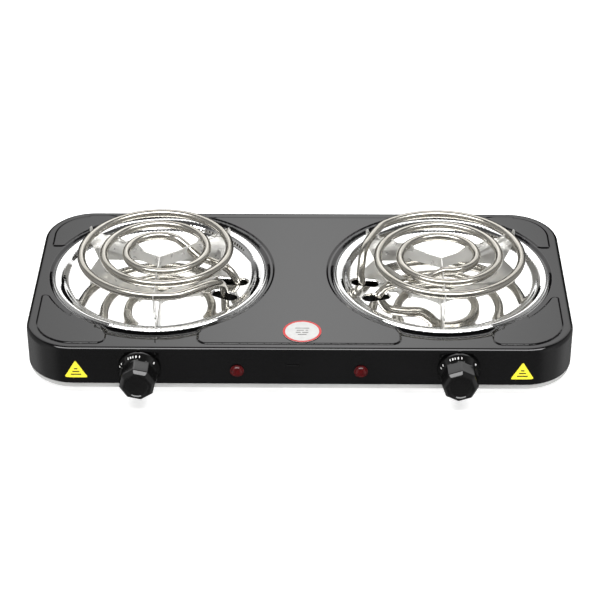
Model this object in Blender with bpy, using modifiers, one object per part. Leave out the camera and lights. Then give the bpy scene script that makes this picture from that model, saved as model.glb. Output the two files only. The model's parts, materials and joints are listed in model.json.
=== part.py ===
"""Twin electric hot plate: pressed housing, drip pans, coils, thermostats, knobs and wiring.

Metres, +Z up, +X to the right of someone facing the knobs, which point to -Y. The origin is the
centre of the whole object's footprint, on the surface that the feet stand on.
"""
import math

import bmesh
import bpy
from mathutils import Matrix, Vector

# ---- Driving dimensions ------------------------------------------------------------------
HOUSING_W = 0.465            # overall width of the pressed top housing
HOUSING_D = 0.226            # its depth, without the knobs
CORNER_R = 0.043             # plan radius of its corners
EDGE_R = 0.004               # radius where the plate turns down into the skirt
SHEET = 0.001                # sheet thickness of housing and tray
FOOT_H = 0.007               # the tray's underside above the floor
TRAY_INSET = 0.001           # the tray's wall, in from the skirt
SKIRT_Z = 0.0125             # lower edge of the skirt
PLATE_Z = 0.0475             # flat top of the plate
GAP = 0.0003                 # clearance kept between touching pieces

PAN_X = 0.124                # burner centres, left and right of the middle
PAN_Y = 0.0092               # burner centres, behind the housing's middle
PAN_R = 0.094                # outer radius of a drip pan
PAN_SHEET = 0.001
SEAT_Z = PLATE_Z - 0.0016    # the ledge that a pan's rim rests on
SEAT_R = 0.0885              # inner radius of that ledge
WELL_R = 0.0958              # where the plate dips to the ledge

TUBE_R = 0.00325             # radius of a coil's sheath
LEAD_Z = 0.0187              # a coil's nominal centreline above the plate
COIL_Z = {-1: PLATE_Z + 0.0200, 1: PLATE_Z + 0.0174}     # the loose coils sit a little differently
COIL_SHIFT = {-1: (0.0016, 0.0022), 1: (0.0020, -0.0015)}    # and a little off their centres
END_SHIFT = {-1: ((0.0, 0.0), (0.0, 0.0)),                    # the same for its two lower ends
             1: ((0.0066, 0.0022), (-0.0059, 0.0004))}
COIL_R0 = 0.0205             # spiral radius at angle zero
COIL_PITCH = 0.0197          # distance between turns
COIL_START = 60.0            # spiral angles, degrees
COIL_END = 1000.0
RIGHT_TURN = 211.0           # the right pan and coil are the left ones turned by this

ARM_ANGLES = (-90.0, 30.0, 150.0)
ARM_SHEET = 0.0009
FOOT_R = 0.063               # where a support's feet stand in the pan

KNOB_X = 0.134
KNOB_Z = 0.0275
KNOB_REACH = 0.027           # the knob's front, ahead of the skirt
KNOB_GAP = 0.0015            # knob flange to skirt
SHAFT_R = 0.003
LAMP_X = 0.052
LAMP_Z = 0.026
LENS_R = 0.00585
LABEL_X = 0.1875
GLAND_Z = 0.027
GLAND_REACH = 0.005          # the rear bush, behind the skirt

HOUSING_Y = (KNOB_REACH - GLAND_REACH) / 2    # centres the footprint on the origin
FRONT_Y = HOUSING_Y - HOUSING_D / 2
REAR_Y = HOUSING_Y + HOUSING_D / 2
SIDES = (("left", -1), ("right", 1))

# Pressings: raised panels, and the pans' slots as (radius, degrees, length)
PANEL_RISE = 0.001
SLOTS = {-1: ((0.0623, -3.6, 0.031), (0.0638, -24.6, 0.0245)),
         1: ((0.0643, -4.5, 0.024), (0.0672, -26.3, 0.024))}     # for the inner end, the outer
SLOT_W = 0.0105
SLOT_SKEW = 8.0                     # degrees that both slots lean from square to their radius
RIM_Z = PLATE_Z + 0.0002
PAN_FLOOR = PLATE_Z - 0.0090
SLOT_Z = PLATE_Z - 0.0082           # about where the slots and slits pass through the floor
SLIT_LENGTH = 0.0072
SLIT_ROOM = 0.0008                  # a slit's width beyond the sheet that stands in it

# Screws, tabs and feet
SCREW_R = 0.0015                    # every small screw's shank
SCREW_HOLE_R = SCREW_R + 0.0004
HEAD_R = 0.0030
HEAD_H = 0.0018
TAB_X = 0.092                       # the tabs that the tray's screws go into
TAB_Z = 0.0138
TAB_REACH = 0.014
TAB_SHEET = 0.0012
TAB_ROOT = 0.0004                   # how far a tab runs into the skirt
FOOT_X = 0.190
FOOT_Y = 0.078
FOOT_RADIUS = 0.008
NECK_R = 0.0026
EARTH_X = 0.030
EARTH_Y = HOUSING_Y + 0.092

# Thermostats, lamps and the terminal blocks
BLOCK_SIZE = (0.038, 0.015, 0.012)
BLOCK_TOP = PLATE_Z - 0.0180
BLOCK_BEVEL = 0.0008
THERMO_SIZE = (0.028, 0.020, 0.016)
THERMO_Y = FRONT_Y + SHEET + GAP    # its front face
SCREW_SPAN = 0.0100                 # its screws, each side of its shaft
ARM_PIVOT_Z = KNOB_Z - 0.0062
ARM_PIVOT_Y = THERMO_Y + THERMO_SIZE[1] + 0.0012
SHAFT_END_Y = THERMO_Y + THERMO_SIZE[1] - 0.0002
SHAFT_HOLE_R = SHAFT_R + 0.0006
CONTACT_SIZE = (0.008, 0.0006, 0.0130)
LAMP_BODY_R = 0.0048
LAMP_BODY_LENGTH = 0.018
LAMP_BODY_Y = FRONT_Y + 0.0040 + GAP             # its front end
GLAND_HOLE_R = 0.0052
SUPPLY_SIZE = (0.036, 0.014, 0.012)
SUPPLY_AT = Vector((0.0, HOUSING_Y + 0.088, FOOT_H + SHEET + GAP + SUPPLY_SIZE[2] / 2))
WIRE_R = 0.0011
WIRE_FLOOR = FOOT_H + SHEET + 0.0025             # a wire's centre where it lies on the tray
LABEL_SHEET = 0.0003

PART_NAME = "hot_plate_burner"
ROUND_SIDES = 40             # facets round the wells and the pans
DEEP = 0.010                 # a cutter's length through the sheet


# ---- Scene and materials -----------------------------------------------------------------
def start_scene():
    for obj in list(bpy.data.objects):
        bpy.data.objects.remove(obj, do_unlink=True)
    found = []
    for name in (PART_NAME, "cutters"):
        coll = bpy.data.collections.get(name) or bpy.data.collections.new(name)
        if name not in bpy.context.scene.collection.children:
            bpy.context.scene.collection.children.link(coll)
        found.append(coll)
    return found


PARTS, CUTTERS = start_scene()


def finish(name, color, roughness, metallic=0.0):
    """A Principled material, made once and then shared by name."""
    mat = bpy.data.materials.get(name)
    if mat is None:
        mat = bpy.data.materials.new(name)
        mat.use_nodes = True
        shader = mat.node_tree.nodes["Principled BSDF"]
        shader.inputs["Base Color"].default_value = (*color, 1.0)
        shader.inputs["Roughness"].default_value = roughness
        shader.inputs["Metallic"].default_value = metallic
        mat.diffuse_color = (*color, 1.0)
    return mat


ENAMEL = finish("black_enamel", (0.03, 0.03, 0.032), 0.18)
TRAY_STEEL = finish("silver_sheet", (0.62, 0.62, 0.6), 0.4, 1.0)
CHROME = finish("pan_chrome", (0.85, 0.85, 0.84), 0.06, 1.0)
SHEATH = finish("coil_steel", (0.55, 0.52, 0.47), 0.3, 1.0)
BRACKET = finish("support_steel", (0.6, 0.6, 0.57), 0.3, 1.0)
KNOB_BLACK = finish("knob_plastic", (0.015, 0.015, 0.015), 0.3)
LENS_RED = finish("lamp_red", (0.45, 0.01, 0.01), 0.12)
LAMP_WHITE = finish("lamp_body_plastic", (0.8, 0.78, 0.7), 0.5)
RUBBER = finish("foot_rubber", (0.02, 0.02, 0.02), 0.8)
CERAMIC = finish("ceramic", (0.85, 0.83, 0.76), 0.6)
ZINC = finish("zinc_steel", (0.6, 0.6, 0.62), 0.35, 1.0)
BRASS = finish("brass", (0.7, 0.5, 0.2), 0.3, 1.0)
SLEEVE = finish("wire_sleeve", (0.75, 0.72, 0.62), 0.8)
YELLOW = finish("label_yellow", (0.85, 0.7, 0.02), 0.4)
WHITE = finish("label_white", (0.85, 0.85, 0.83), 0.4)


# ---- Building blocks ---------------------------------------------------------------------
def place(obj, mat, cutter=False):
    if cutter:
        CUTTERS.objects.link(obj)
        obj.hide_render = True
        obj.display_type = 'WIRE'
    else:
        PARTS.objects.link(obj)
        obj.data.materials.append(mat)
    return obj


def from_bmesh(name, bm, mat=None, cutter=False, smooth=False):
    mesh = bpy.data.meshes.new(name)
    bm.to_mesh(mesh)
    bm.free()
    if smooth:
        mesh.shade_smooth()
        mesh.set_sharp_from_angle(angle=math.radians(35))
    return place(bpy.data.objects.new(name, mesh), mat, cutter)


def box(name, size, centre, mat=None, cutter=False, turn=0.0, bevel=0.0):
    """A box of the given size about its centre, turned about Z by degrees."""
    bm = bmesh.new()
    bmesh.ops.create_cube(bm, size=1.0, matrix=Matrix.Diagonal((*size, 1.0)))
    if bevel:
        bmesh.ops.bevel(bm, geom=bm.edges[:], offset=bevel, segments=1, affect='EDGES')
    obj = from_bmesh(name, bm, mat, cutter)
    obj.location = centre
    obj.rotation_euler = (0.0, 0.0, math.radians(turn))
    return obj


def rod(name, radius, length, centre, mat=None, axis='Z', sides=20, cutter=False):
    """A cylinder along Z or Y, about its centre."""
    bm = bmesh.new()
    bmesh.ops.create_cone(bm, cap_ends=True, segments=sides, depth=length, radius1=radius,
                          radius2=radius)
    obj = from_bmesh(name, bm, mat, cutter, smooth=sides > 8)
    obj.location = centre
    if axis == 'Y':
        obj.rotation_euler = (math.radians(90), 0.0, 0.0)
    return obj


def turned(name, profile, centre, mat=None, axis='Z', sides=32, cutter=False, ring=False):
    """A profile of (radius, height) points swept round; a ring's profile closes on itself.

    The profile runs along the top outwards and then down its outer side. With axis 'Y' the
    profile's height points to -Y, towards the front.
    """
    bm = bmesh.new()
    verts = [bm.verts.new((r, 0.0, z)) for r, z in profile]
    for a, b in zip(verts, verts[1:]):
        bm.edges.new((a, b))
    if ring:
        bm.edges.new((verts[-1], verts[0]))
    obj = from_bmesh(name, bm, mat, cutter)
    screw = obj.modifiers.new("turn", 'SCREW')
    screw.steps = screw.render_steps = sides
    screw.use_merge_vertices = True
    screw.merge_threshold = 0.00001
    screw.use_smooth_shade = True
    obj.location = centre
    if axis == 'Y':
        obj.rotation_euler = (math.radians(90), 0.0, 0.0)
    return obj


def smooth_line(points, steps):
    """Points along a Catmull-Rom curve through the given ones."""
    ends = [points[0] * 2 - points[1]] + list(points) + [points[-1] * 2 - points[-2]]
    line = []
    for i in range(1, len(ends) - 2):
        p0, p1, p2, p3 = ends[i - 1:i + 3]
        for k in range(steps):
            t = k / steps
            line.append(0.5 * (2 * p1 + (p2 - p0) * t + (2 * p0 - 5 * p1 + 4 * p2 - p3) * t * t
                               + (3 * p1 - p0 - 3 * p2 + p3) * t ** 3))
    line.append(ends[-2])
    return line


def curve_object(name, points, radius):
    data = bpy.data.curves.new(name, 'CURVE')
    data.dimensions = '3D'
    data.bevel_depth = radius
    data.bevel_resolution = 2
    data.use_fill_caps = True
    spline = data.splines.new('POLY')
    spline.points.add(len(points) - 1)
    for point, at in zip(spline.points, points):
        point.co = (*at, 1.0)
    return bpy.data.objects.new(name, data)


def tube(name, points, radius, mat):
    return place(curve_object(name, points, radius), mat)


def as_mesh(obj, mat=None, cutter=False):
    """The curve object's mesh with its caps welded, in place of the curve."""
    bpy.context.scene.collection.objects.link(obj)
    graph = bpy.context.evaluated_depsgraph_get()
    mesh = bpy.data.meshes.new_from_object(obj.evaluated_get(graph))
    bm = bmesh.new()
    bm.from_mesh(mesh)
    bmesh.ops.remove_doubles(bm, verts=bm.verts, dist=0.00001)
    bm.to_mesh(mesh)
    bm.free()
    mesh.materials.clear()
    solid = bpy.data.objects.new(obj.name + "_solid", mesh)
    solid.matrix_world = obj.matrix_world
    bpy.data.objects.remove(obj, do_unlink=True)
    return place(solid, mat, cutter)


def slab(name, outline, thickness, mat=None, cutter=False):
    """A flat outline of (x, y) points, as thick as given and centred on its plane."""
    data = bpy.data.curves.new(name, 'CURVE')
    data.dimensions = '2D'
    data.fill_mode = 'BOTH'
    data.extrude = thickness / 2
    spline = data.splines.new('POLY')
    spline.use_cyclic_u = True
    spline.points.add(len(outline) - 1)
    for point, (x, y) in zip(spline.points, outline):
        point.co = (x, y, 0.0, 1.0)
    return as_mesh(bpy.data.objects.new(name, data), mat, cutter)


def boolean(obj, other, operation='DIFFERENCE'):
    mod = obj.modifiers.new(other.name[:40], 'BOOLEAN')
    mod.operation = operation
    mod.solver = 'EXACT'
    mod.object = other


def arc(cx, cy, radius, start, end, steps):
    """Points round a circle from one angle to another, in degrees."""
    out = []
    for k in range(steps + 1):
        a = math.radians(start + (end - start) * k / steps)
        out.append((cx + radius * math.cos(a), cy + radius * math.sin(a)))
    return out


def polar(radius, degrees):
    a = math.radians(degrees)
    return Vector((radius * math.cos(a), radius * math.sin(a), 0.0))


def pan_centre(side):
    return Vector((side * PAN_X, HOUSING_Y + PAN_Y, 0.0))


def pan_turn(side):
    return RIGHT_TURN if side > 0 else 0.0


# ---- Top housing -------------------------------------------------------------------------
def open_shell(name, width, depth, low, high, corner, edge, open_top, mat):
    """A rounded box left open at the top or the bottom, given its thickness inwards."""
    bm = bmesh.new()
    size = Matrix.Diagonal((width, depth, high - low, 1.0))
    bmesh.ops.create_cube(bm, size=1.0, matrix=size)
    upright = [e for e in bm.edges if abs(e.verts[0].co.z - e.verts[1].co.z) > 0.001]
    bmesh.ops.bevel(bm, geom=upright, offset=corner, segments=10, profile=0.5, affect='EDGES')
    top = (high - low) / 2
    closed_z = -top if open_top else top
    if edge:
        around = [e for e in bm.edges if all(abs(v.co.z - closed_z) < 1e-6 for v in e.verts)]
        bmesh.ops.bevel(bm, geom=around, offset=edge, segments=3, profile=0.5, affect='EDGES')
    lid = [f for f in bm.faces if all(abs(v.co.z + closed_z) < 1e-6 for v in f.verts)]
    bmesh.ops.delete(bm, geom=lid, context='FACES_ONLY')
    obj = from_bmesh(name, bm, mat, smooth=True)
    obj.location = (0.0, HOUSING_Y, (high + low) / 2)
    shell = obj.modifiers.new("sheet", 'SOLIDIFY')
    shell.thickness = SHEET
    shell.offset = -1.0
    shell.use_even_offset = True
    return obj


def panel_outlines():
    """Outlines of the raised panels, about the housing's middle: one central, four corner."""
    front = -0.1065
    rear = 0.1040
    bend = CORNER_R - 0.0085
    bend_x = HOUSING_W / 2 - CORNER_R
    bend_y = HOUSING_D / 2 - CORNER_R
    central = [(-0.0690, rear), (-0.0738, 0.0985)]
    central += arc(-PAN_X, PAN_Y, 0.099, 57, -64, 12)
    central += [(-0.0860, -0.0920), (-0.0842, -0.0990), (-0.0795, -0.1042), (-0.0720, front)]
    central += [(-x, y) for x, y in reversed(central)]
    outlines = {"central": central}
    front_left = arc(-PAN_X, PAN_Y, 0.101, 238, 208, 7)
    front_left += [(-0.2200, -0.0318), (-0.2238, -0.0350)]
    front_left += arc(-bend_x, -bend_y, bend, 180, 270, 7)
    front_left += [(-0.1680, -0.1062), (-0.1634, -0.1010), (-0.1622, -0.0950), (-0.1645, -0.0885)]
    rear_left = arc(-PAN_X, PAN_Y, 0.098, 118, 154, 7)
    rear_left += [(-0.2185, 0.0487), (-0.2225, 0.0520)]
    rear_left += arc(-bend_x, bend_y, bend, 180, 95, 6) + [(-0.1725, 0.1030)]
    for name, side in SIDES:
        outlines["front_" + name] = [(-side * x, y) for x, y in front_left]
        outlines["rear_" + name] = [(-side * x, y) for x, y in rear_left]
    return outlines


def top_housing():
    shell = open_shell("top_housing", HOUSING_W, HOUSING_D, SKIRT_Z, PLATE_Z, CORNER_R, EDGE_R,
                       False, ENAMEL)
    sunk = PANEL_RISE / 2
    for name, outline in panel_outlines().items():
        panel = slab("panel_" + name, outline, PANEL_RISE + sunk, cutter=True)
        panel.location = (0.0, HOUSING_Y, PLATE_Z + (PANEL_RISE - sunk) / 2)
        boolean(shell, panel, 'UNION')
    seat = [(SEAT_R, SEAT_Z), (WELL_R - 0.0012, SEAT_Z), (WELL_R, PLATE_Z - 0.0002),
            (WELL_R, PLATE_Z - 0.0008), (WELL_R - 0.0010, SEAT_Z - SHEET),
            (SEAT_R, SEAT_Z - SHEET)]
    for name, side in SIDES:
        centre = pan_centre(side)
        well = rod("well_" + name, WELL_R - 0.0008, DEEP, centre + Vector((0, 0, PLATE_Z)),
                   sides=ROUND_SIDES, cutter=True)
        boolean(shell, well)
        ring = turned("seat_" + name, seat, centre, sides=ROUND_SIDES, cutter=True,
                      ring=True)
        boolean(shell, ring, 'UNION')
        front_holes(shell, name, side)
        for where, end in (("front", -1), ("rear", 1)):
            tab(shell, name + "_" + where, side, end)
    gland = rod("gland_hole", GLAND_HOLE_R, DEEP, (0, REAR_Y, GLAND_Z), axis='Y', cutter=True)
    boolean(shell, gland)
    return shell


def front_holes(shell, name, side):
    """The skirt's holes for one shaft, its thermostat's screws and one lamp."""
    holes = [("shaft_hole_", SHAFT_HOLE_R, side * KNOB_X, KNOB_Z),
             ("lamp_hole_", LENS_R - 0.0006, side * LAMP_X, LAMP_Z)]
    for n, dx in enumerate((-SCREW_SPAN, SCREW_SPAN)):
        holes.append(("thermostat_screw_hole_%d_" % n, SCREW_HOLE_R, side * KNOB_X + dx, KNOB_Z))
    for prefix, radius, x, z in holes:
        hole = rod(prefix + name, radius, DEEP, (x, FRONT_Y, z), axis='Y', cutter=True)
        boolean(shell, hole)


def tab_place(side, end):
    wall = HOUSING_Y + end * (HOUSING_D / 2 - SHEET)
    return Vector((side * TAB_X, wall - end * TAB_REACH / 2, TAB_Z))


def tab(shell, name, side, end):
    at = tab_place(side, end)
    ear = box("tab_" + name, (TAB_REACH, TAB_REACH + TAB_ROOT, TAB_SHEET),
              at + Vector((0, end * TAB_ROOT / 2, 0)), cutter=True)
    boolean(shell, ear, 'UNION')
    hole = rod("tab_hole_" + name, SCREW_HOLE_R, DEEP, at, sides=12, cutter=True)
    boolean(shell, hole)


# ---- Tray, feet and screws ---------------------------------------------------------------
def foot_places():
    for name, side in SIDES:
        for where, end in (("front", -1), ("rear", 1)):
            yield name, where, Vector((side * FOOT_X, HOUSING_Y + end * FOOT_Y, 0.0)), side, end


def base_plate():
    tray = open_shell("base_plate", HOUSING_W - 2 * TRAY_INSET, HOUSING_D - 2 * TRAY_INSET,
                      FOOT_H, SKIRT_Z - GAP, CORNER_R - TRAY_INSET, 0.0, True, TRAY_STEEL)
    for name, where, at, side, end in foot_places():
        hole = rod("neck_hole_%s_%s" % (where, name), NECK_R + GAP, DEEP / 2,
                   at + Vector((0, 0, FOOT_H)), sides=16, cutter=True)
        boolean(tray, hole)
        screw = tab_place(side, end)
        hole = rod("tray_hole_%s_%s" % (where, name), SCREW_HOLE_R, DEEP / 2,
                   (screw.x, screw.y, FOOT_H), sides=12, cutter=True)
        boolean(tray, hole)
    earth = rod("earth_hole", SCREW_HOLE_R, DEEP / 2, (EARTH_X, EARTH_Y, FOOT_H), sides=12,
                cutter=True)
    boolean(tray, earth)
    return tray


def screw_profile(shank, head_r=HEAD_R, head_h=HEAD_H, length=0.009):
    """Head below, shank above: (radius, height) points from the top down."""
    top = head_h + length
    return [(0.0, top), (shank, top), (shank, head_h), (head_r, head_h), (head_r, 0.0005),
            (head_r - 0.0006, 0.0), (0.0, 0.0)]


def feet_and_screws():
    neck_top = FOOT_H + SHEET + GAP
    foot = [(0.0, neck_top + 0.0016), (0.0024, neck_top + 0.0016), (0.0038, neck_top),
            (NECK_R, neck_top), (NECK_R, FOOT_H - GAP), (FOOT_RADIUS - 0.001, FOOT_H - GAP),
            (FOOT_RADIUS, FOOT_H - 0.0012), (FOOT_RADIUS - 0.0008, 0.0), (0.0, 0.0)]
    for name, where, at, side, end in foot_places():
        turned("foot_%s_%s" % (where, name), foot, at, RUBBER, sides=16)
        screw = tab_place(side, end)
        turned("base_screw_%s_%s" % (where, name), screw_profile(SCREW_R),
               (screw.x, screw.y, FOOT_H - GAP - HEAD_H), ZINC, sides=8)
    turned("earth_screw", screw_profile(SCREW_R, length=0.006),
           (EARTH_X, EARTH_Y, FOOT_H - GAP - HEAD_H), BRASS, sides=8)


# ---- Drip pans, coils and supports -------------------------------------------------------
def pan_profile():
    """The pan's upper surface, from its centre to its rolled rim."""
    rise = [(0.0, 0.0), (0.0600, 0.0012), (0.0790, 0.0024), (0.0820, 0.0022)]
    top = [(r, PAN_FLOOR + dz) for r, dz in rise]
    top += [(0.0860, RIM_Z - 0.0024), (0.0875, RIM_Z - 0.0004), (0.0925, RIM_Z),
            (PAN_R, RIM_Z - 0.0005)]
    return top


def drip_pan(name, side):
    top = pan_profile()
    under = [(r, z - PAN_SHEET) for r, z in reversed(top)]
    pan = turned("drip_pan_" + name, top + under, pan_centre(side), CHROME,
                 sides=ROUND_SIDES)
    turn = pan_turn(side)
    for letter, (radius, degrees, length) in zip("ab", SLOTS[side]):
        half = length / 2 - SLOT_W / 2
        outline = arc(half, 0.0, SLOT_W / 2, -90, 90, 6) + arc(-half, 0.0, SLOT_W / 2, 90, 270, 6)
        slot = slab("slot_%s_%s" % (letter, name), outline, 0.012, cutter=True)
        at = polar(radius, degrees + turn)
        slot.location = pan_centre(side) + at + Vector((0, 0, SLOT_Z))
        slot.rotation_euler = (0.0, 0.0, math.radians(degrees + turn - SLOT_SKEW))
        boolean(pan, slot)
    for n, angle in enumerate(ARM_ANGLES):
        at = pan_centre(side) + polar(FOOT_R, angle) + Vector((0, 0, SLOT_Z))
        slit = box("slit_%d_%s" % (n, name), (SLIT_LENGTH, ARM_SHEET + SLIT_ROOM, DEEP / 2), at,
                   cutter=True, turn=angle)
        boolean(pan, slit)
    return pan


def coil_shift(side):
    return Vector((*COIL_SHIFT[side], 0.0))


def end_shift(side, outer):
    return Vector((*END_SHIFT[side][outer], 0.0))


def coil_points(side):
    """The centreline: up from the inner end's terminal, round the spiral and down again."""
    inner = [(0.0690, -0.0062, -0.0260), (0.0690, -0.0062, -0.0170), (0.0686, -0.0060, -0.0092),
             (0.0655, -0.0046, -0.0017), (0.0590, -0.0015, 0.0038), (0.0470, 0.0041, 0.0060),
             (0.0340, 0.0101, 0.0073), (0.0265, 0.0136, 0.0108), (0.0195, 0.0168, 0.0153)]
    outer = [(0.0270, -0.0680, 0.0187), (0.0385, -0.0600, 0.0187), (0.0470, -0.0530, 0.0180),
             (0.0530, -0.0455, 0.0143), (0.0563, -0.0370, 0.0073), (0.0578, -0.0300, -0.0017),
             (0.0580, -0.0272, -0.0092), (0.0580, -0.0270, -0.0170), (0.0580, -0.0270, -0.0260)]
    spiral = []
    count = 42
    for k in range(count + 1):
        angle = COIL_START + (COIL_END - COIL_START) * k / count
        at = polar(COIL_R0 + COIL_PITCH * angle / 360, angle)
        spiral.append(Vector((at.x, at.y, LEAD_Z)))
    start = smooth_line([Vector(p) for p in inner] + spiral[:1], 2)
    end = smooth_line(spiral[-1:] + [Vector(p) for p in outer], 2)
    turn = Matrix.Rotation(math.radians(pan_turn(side)), 3, 'Z')
    lift = COIL_Z[side] - PLATE_Z - LEAD_Z
    line = []
    whole = start + spiral[1:-1] + end
    for k, point in enumerate(whole):
        share = min(max(point.z / LEAD_Z, 0.0), 1.0)
        shift = coil_shift(side) * share + end_shift(side, k > len(whole) / 2) * (1 - share)
        height = Vector((0.0, 0.0, PLATE_Z + lift * share))
        line.append(turn @ point + shift + height + pan_centre(side))
    return line


def coil_radius(angle):
    """The outermost turn's radius at an angle about the left coil's centre."""
    while angle + 360 <= COIL_END:
        angle += 360
    return COIL_R0 + COIL_PITCH * angle / 360


def coil_support(name, side):
    """Three upright sheet arms, notched for the turns, on feet in the pan's slits."""
    low = PLATE_Z + 0.0048
    high = COIL_Z[side]
    middle = PLATE_Z + 0.0150
    arms = []
    for n, angle in enumerate(ARM_ANGLES):
        local = (angle - pan_turn(side)) % 360
        reach = coil_radius(local) + coil_shift(side).dot(polar(1.0, angle)) + TUBE_R + 0.0032
        foot_z = PLATE_Z - 0.0107
        outline = [(-0.0002, low), (FOOT_R - 0.003, low + 0.0004), (FOOT_R - 0.0024, foot_z),
                   (FOOT_R + 0.0024, foot_z), (FOOT_R + 0.003, low + 0.0006),
                   (reach, low + 0.0014), (reach + 0.0002, high + 0.003),
                   (reach - 0.002, high + 0.0042), (reach - 0.004, high - 0.0005),
                   (0.020, high - 0.0007), (0.016, middle), (-0.0002, middle - 0.0001)]
        arm = slab("coil_support_%s_arm_%d" % (name, n), outline, ARM_SHEET, cutter=True)
        arm.rotation_euler = (math.radians(90), 0.0, math.radians(angle))
        arm.location = pan_centre(side)
        arms.append(arm)
    height = middle - low + 0.0002
    hub = rod("coil_support_" + name, 0.0016, height, (0, 0, 0), BRACKET, sides=12)
    hub.location = pan_centre(side) + Vector((0, 0, (low + middle) / 2))
    for arm in arms:
        boolean(hub, arm, 'UNION')
    clearance = curve_object("coil_room_" + name, coil_points(side), TUBE_R + 0.0004)
    boolean(hub, as_mesh(clearance, cutter=True))
    if side < 0:
        # The inner end dips through this arm, so the arm is open above it.
        at = pan_centre(side) + polar(0.0292, ARM_ANGLES[1]) + Vector((0, 0, PLATE_Z + 0.0174))
        boolean(hub, box("lead_gap_" + name, (0.0105, 0.004, 0.0120), at, cutter=True,
                         turn=ARM_ANGLES[1]))
    return hub


def coil_feet(side):
    """The coil's two lower ends."""
    line = coil_points(side)
    return line[0], line[-1]


def block_centre(side):
    inner, outer = coil_feet(side)
    return Vector(((inner.x + outer.x) / 2, (inner.y + outer.y) / 2, 0.0))


def terminal_block(name, side):
    inner, outer = coil_feet(side)
    turn = math.degrees(math.atan2(inner.y - outer.y, inner.x - outer.x))
    centre = block_centre(side) + Vector((0, 0, BLOCK_TOP - BLOCK_SIZE[2] / 2))
    block = box("terminal_block_" + name, BLOCK_SIZE, centre, KNOB_BLACK, turn=turn,
                bevel=BLOCK_BEVEL)
    for letter, foot in zip("ab", (inner, outer)):
        hole = rod("pin_hole_%s_%s" % (letter, name), TUBE_R + 0.0005, 2 * BLOCK_SIZE[2],
                   (foot.x, foot.y, BLOCK_TOP), sides=16, cutter=True)
        boolean(block, hole)
    return block


# ---- Thermostats, knobs and lamps --------------------------------------------------------
def thermostat(name, side):
    x = side * KNOB_X
    width, depth, height = THERMO_SIZE
    body = box("thermostat_" + name, THERMO_SIZE, (x, THERMO_Y + depth / 2, KNOB_Z), CERAMIC,
               bevel=BLOCK_BEVEL)
    shelf = box("thermostat_shelf_" + name, (0.012, 0.0060, 0.0012),
                (x, THERMO_Y + depth + 0.0020, KNOB_Z - height / 2 + BLOCK_BEVEL), cutter=True)
    boolean(body, shelf, 'UNION')
    bore = rod("thermostat_bore_" + name, SHAFT_R + 0.0005, 0.05,
               (x, THERMO_Y + depth / 2, KNOB_Z), axis='Y', cutter=True)
    boolean(body, bore)
    shank_length = 0.008
    for n, dx in enumerate((-SCREW_SPAN, SCREW_SPAN)):
        hole = rod("thermostat_thread_%d_%s" % (n, name), SCREW_HOLE_R, 0.024,
                   (x + dx, THERMO_Y, KNOB_Z), axis='Y', sides=12, cutter=True)
        boolean(body, hole)
        # The head is ahead of the skirt, under the knob's flange.
        profile = [(r, -z) for r, z in reversed(screw_profile(SCREW_R, 0.0024, 0.0010,
                                                              shank_length))]
        turned("thermostat_screw_%s_%s" % ("ab"[n], name), profile,
               (x + dx, FRONT_Y - GAP - 0.0010, KNOB_Z), ZINC, axis='Y', sides=8)
    leaf = box("contact_arm_" + name, CONTACT_SIZE, (x, ARM_PIVOT_Y, ARM_PIVOT_Z), BRASS)
    for vert in leaf.data.vertices:
        vert.co.z += CONTACT_SIZE[2] / 2
    return body


def knob(name, side):
    """An eight-sided grip on a round flange, its origin on the turning axis."""
    x = side * KNOB_X
    flange_back = KNOB_GAP
    flange = [(0.0, 0.0105), (0.0150, 0.0105), (0.0178, 0.0050), (0.0180, 0.0030),
              (0.0180, flange_back), (0.0, flange_back)]
    body = turned("knob_" + name, flange, (x, FRONT_Y, KNOB_Z), KNOB_BLACK, axis='Y', sides=32)
    turn = math.radians(22.5 + (-9.5 if side < 0 else 3.6))
    bm = bmesh.new()
    length = KNOB_REACH - 0.0060
    bmesh.ops.create_cone(bm, cap_ends=True, segments=8, depth=length, radius1=0.0164,
                          radius2=0.0150)
    rim = [e for e in bm.edges if all(v.co.z > 0 for v in e.verts)]
    bmesh.ops.bevel(bm, geom=rim, offset=0.0028, segments=1, affect='EDGES')
    grip = from_bmesh("grip_" + name, bm, cutter=True)
    grip.location = (x, FRONT_Y - 0.0060 - length / 2, KNOB_Z)
    grip.rotation_euler = (math.radians(90), turn, 0.0)
    boolean(body, grip, 'UNION')
    dish = turned("dish_" + name, [(0.0, 0.004), (0.0100, 0.004), (0.0088, 0.0), (0.0, -0.0003)],
                  (x, FRONT_Y - KNOB_REACH + 0.0015, KNOB_Z), axis='Y', sides=24, cutter=True)
    boolean(body, dish)
    depth = 0.017
    bore = rod("knob_bore_" + name, SHAFT_R + GAP, depth, (x, FRONT_Y - depth / 2, KNOB_Z),
               axis='Y', sides=16, cutter=True)
    boolean(body, bore)
    room = [(0.0065, 0.0032), (0.0135, 0.0032), (0.0135, 0.0), (0.0065, 0.0)]
    relief = turned("screw_room_" + name, room, (x, FRONT_Y, KNOB_Z), axis='Y', sides=24,
                    cutter=True, ring=True)
    boolean(body, relief)
    front = FRONT_Y - depth + 0.0004
    rod("thermostat_shaft_" + name, SHAFT_R, SHAFT_END_Y - front,
        (x, (SHAFT_END_Y + front) / 2, KNOB_Z), ZINC, axis='Y', sides=16)
    return body


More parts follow.
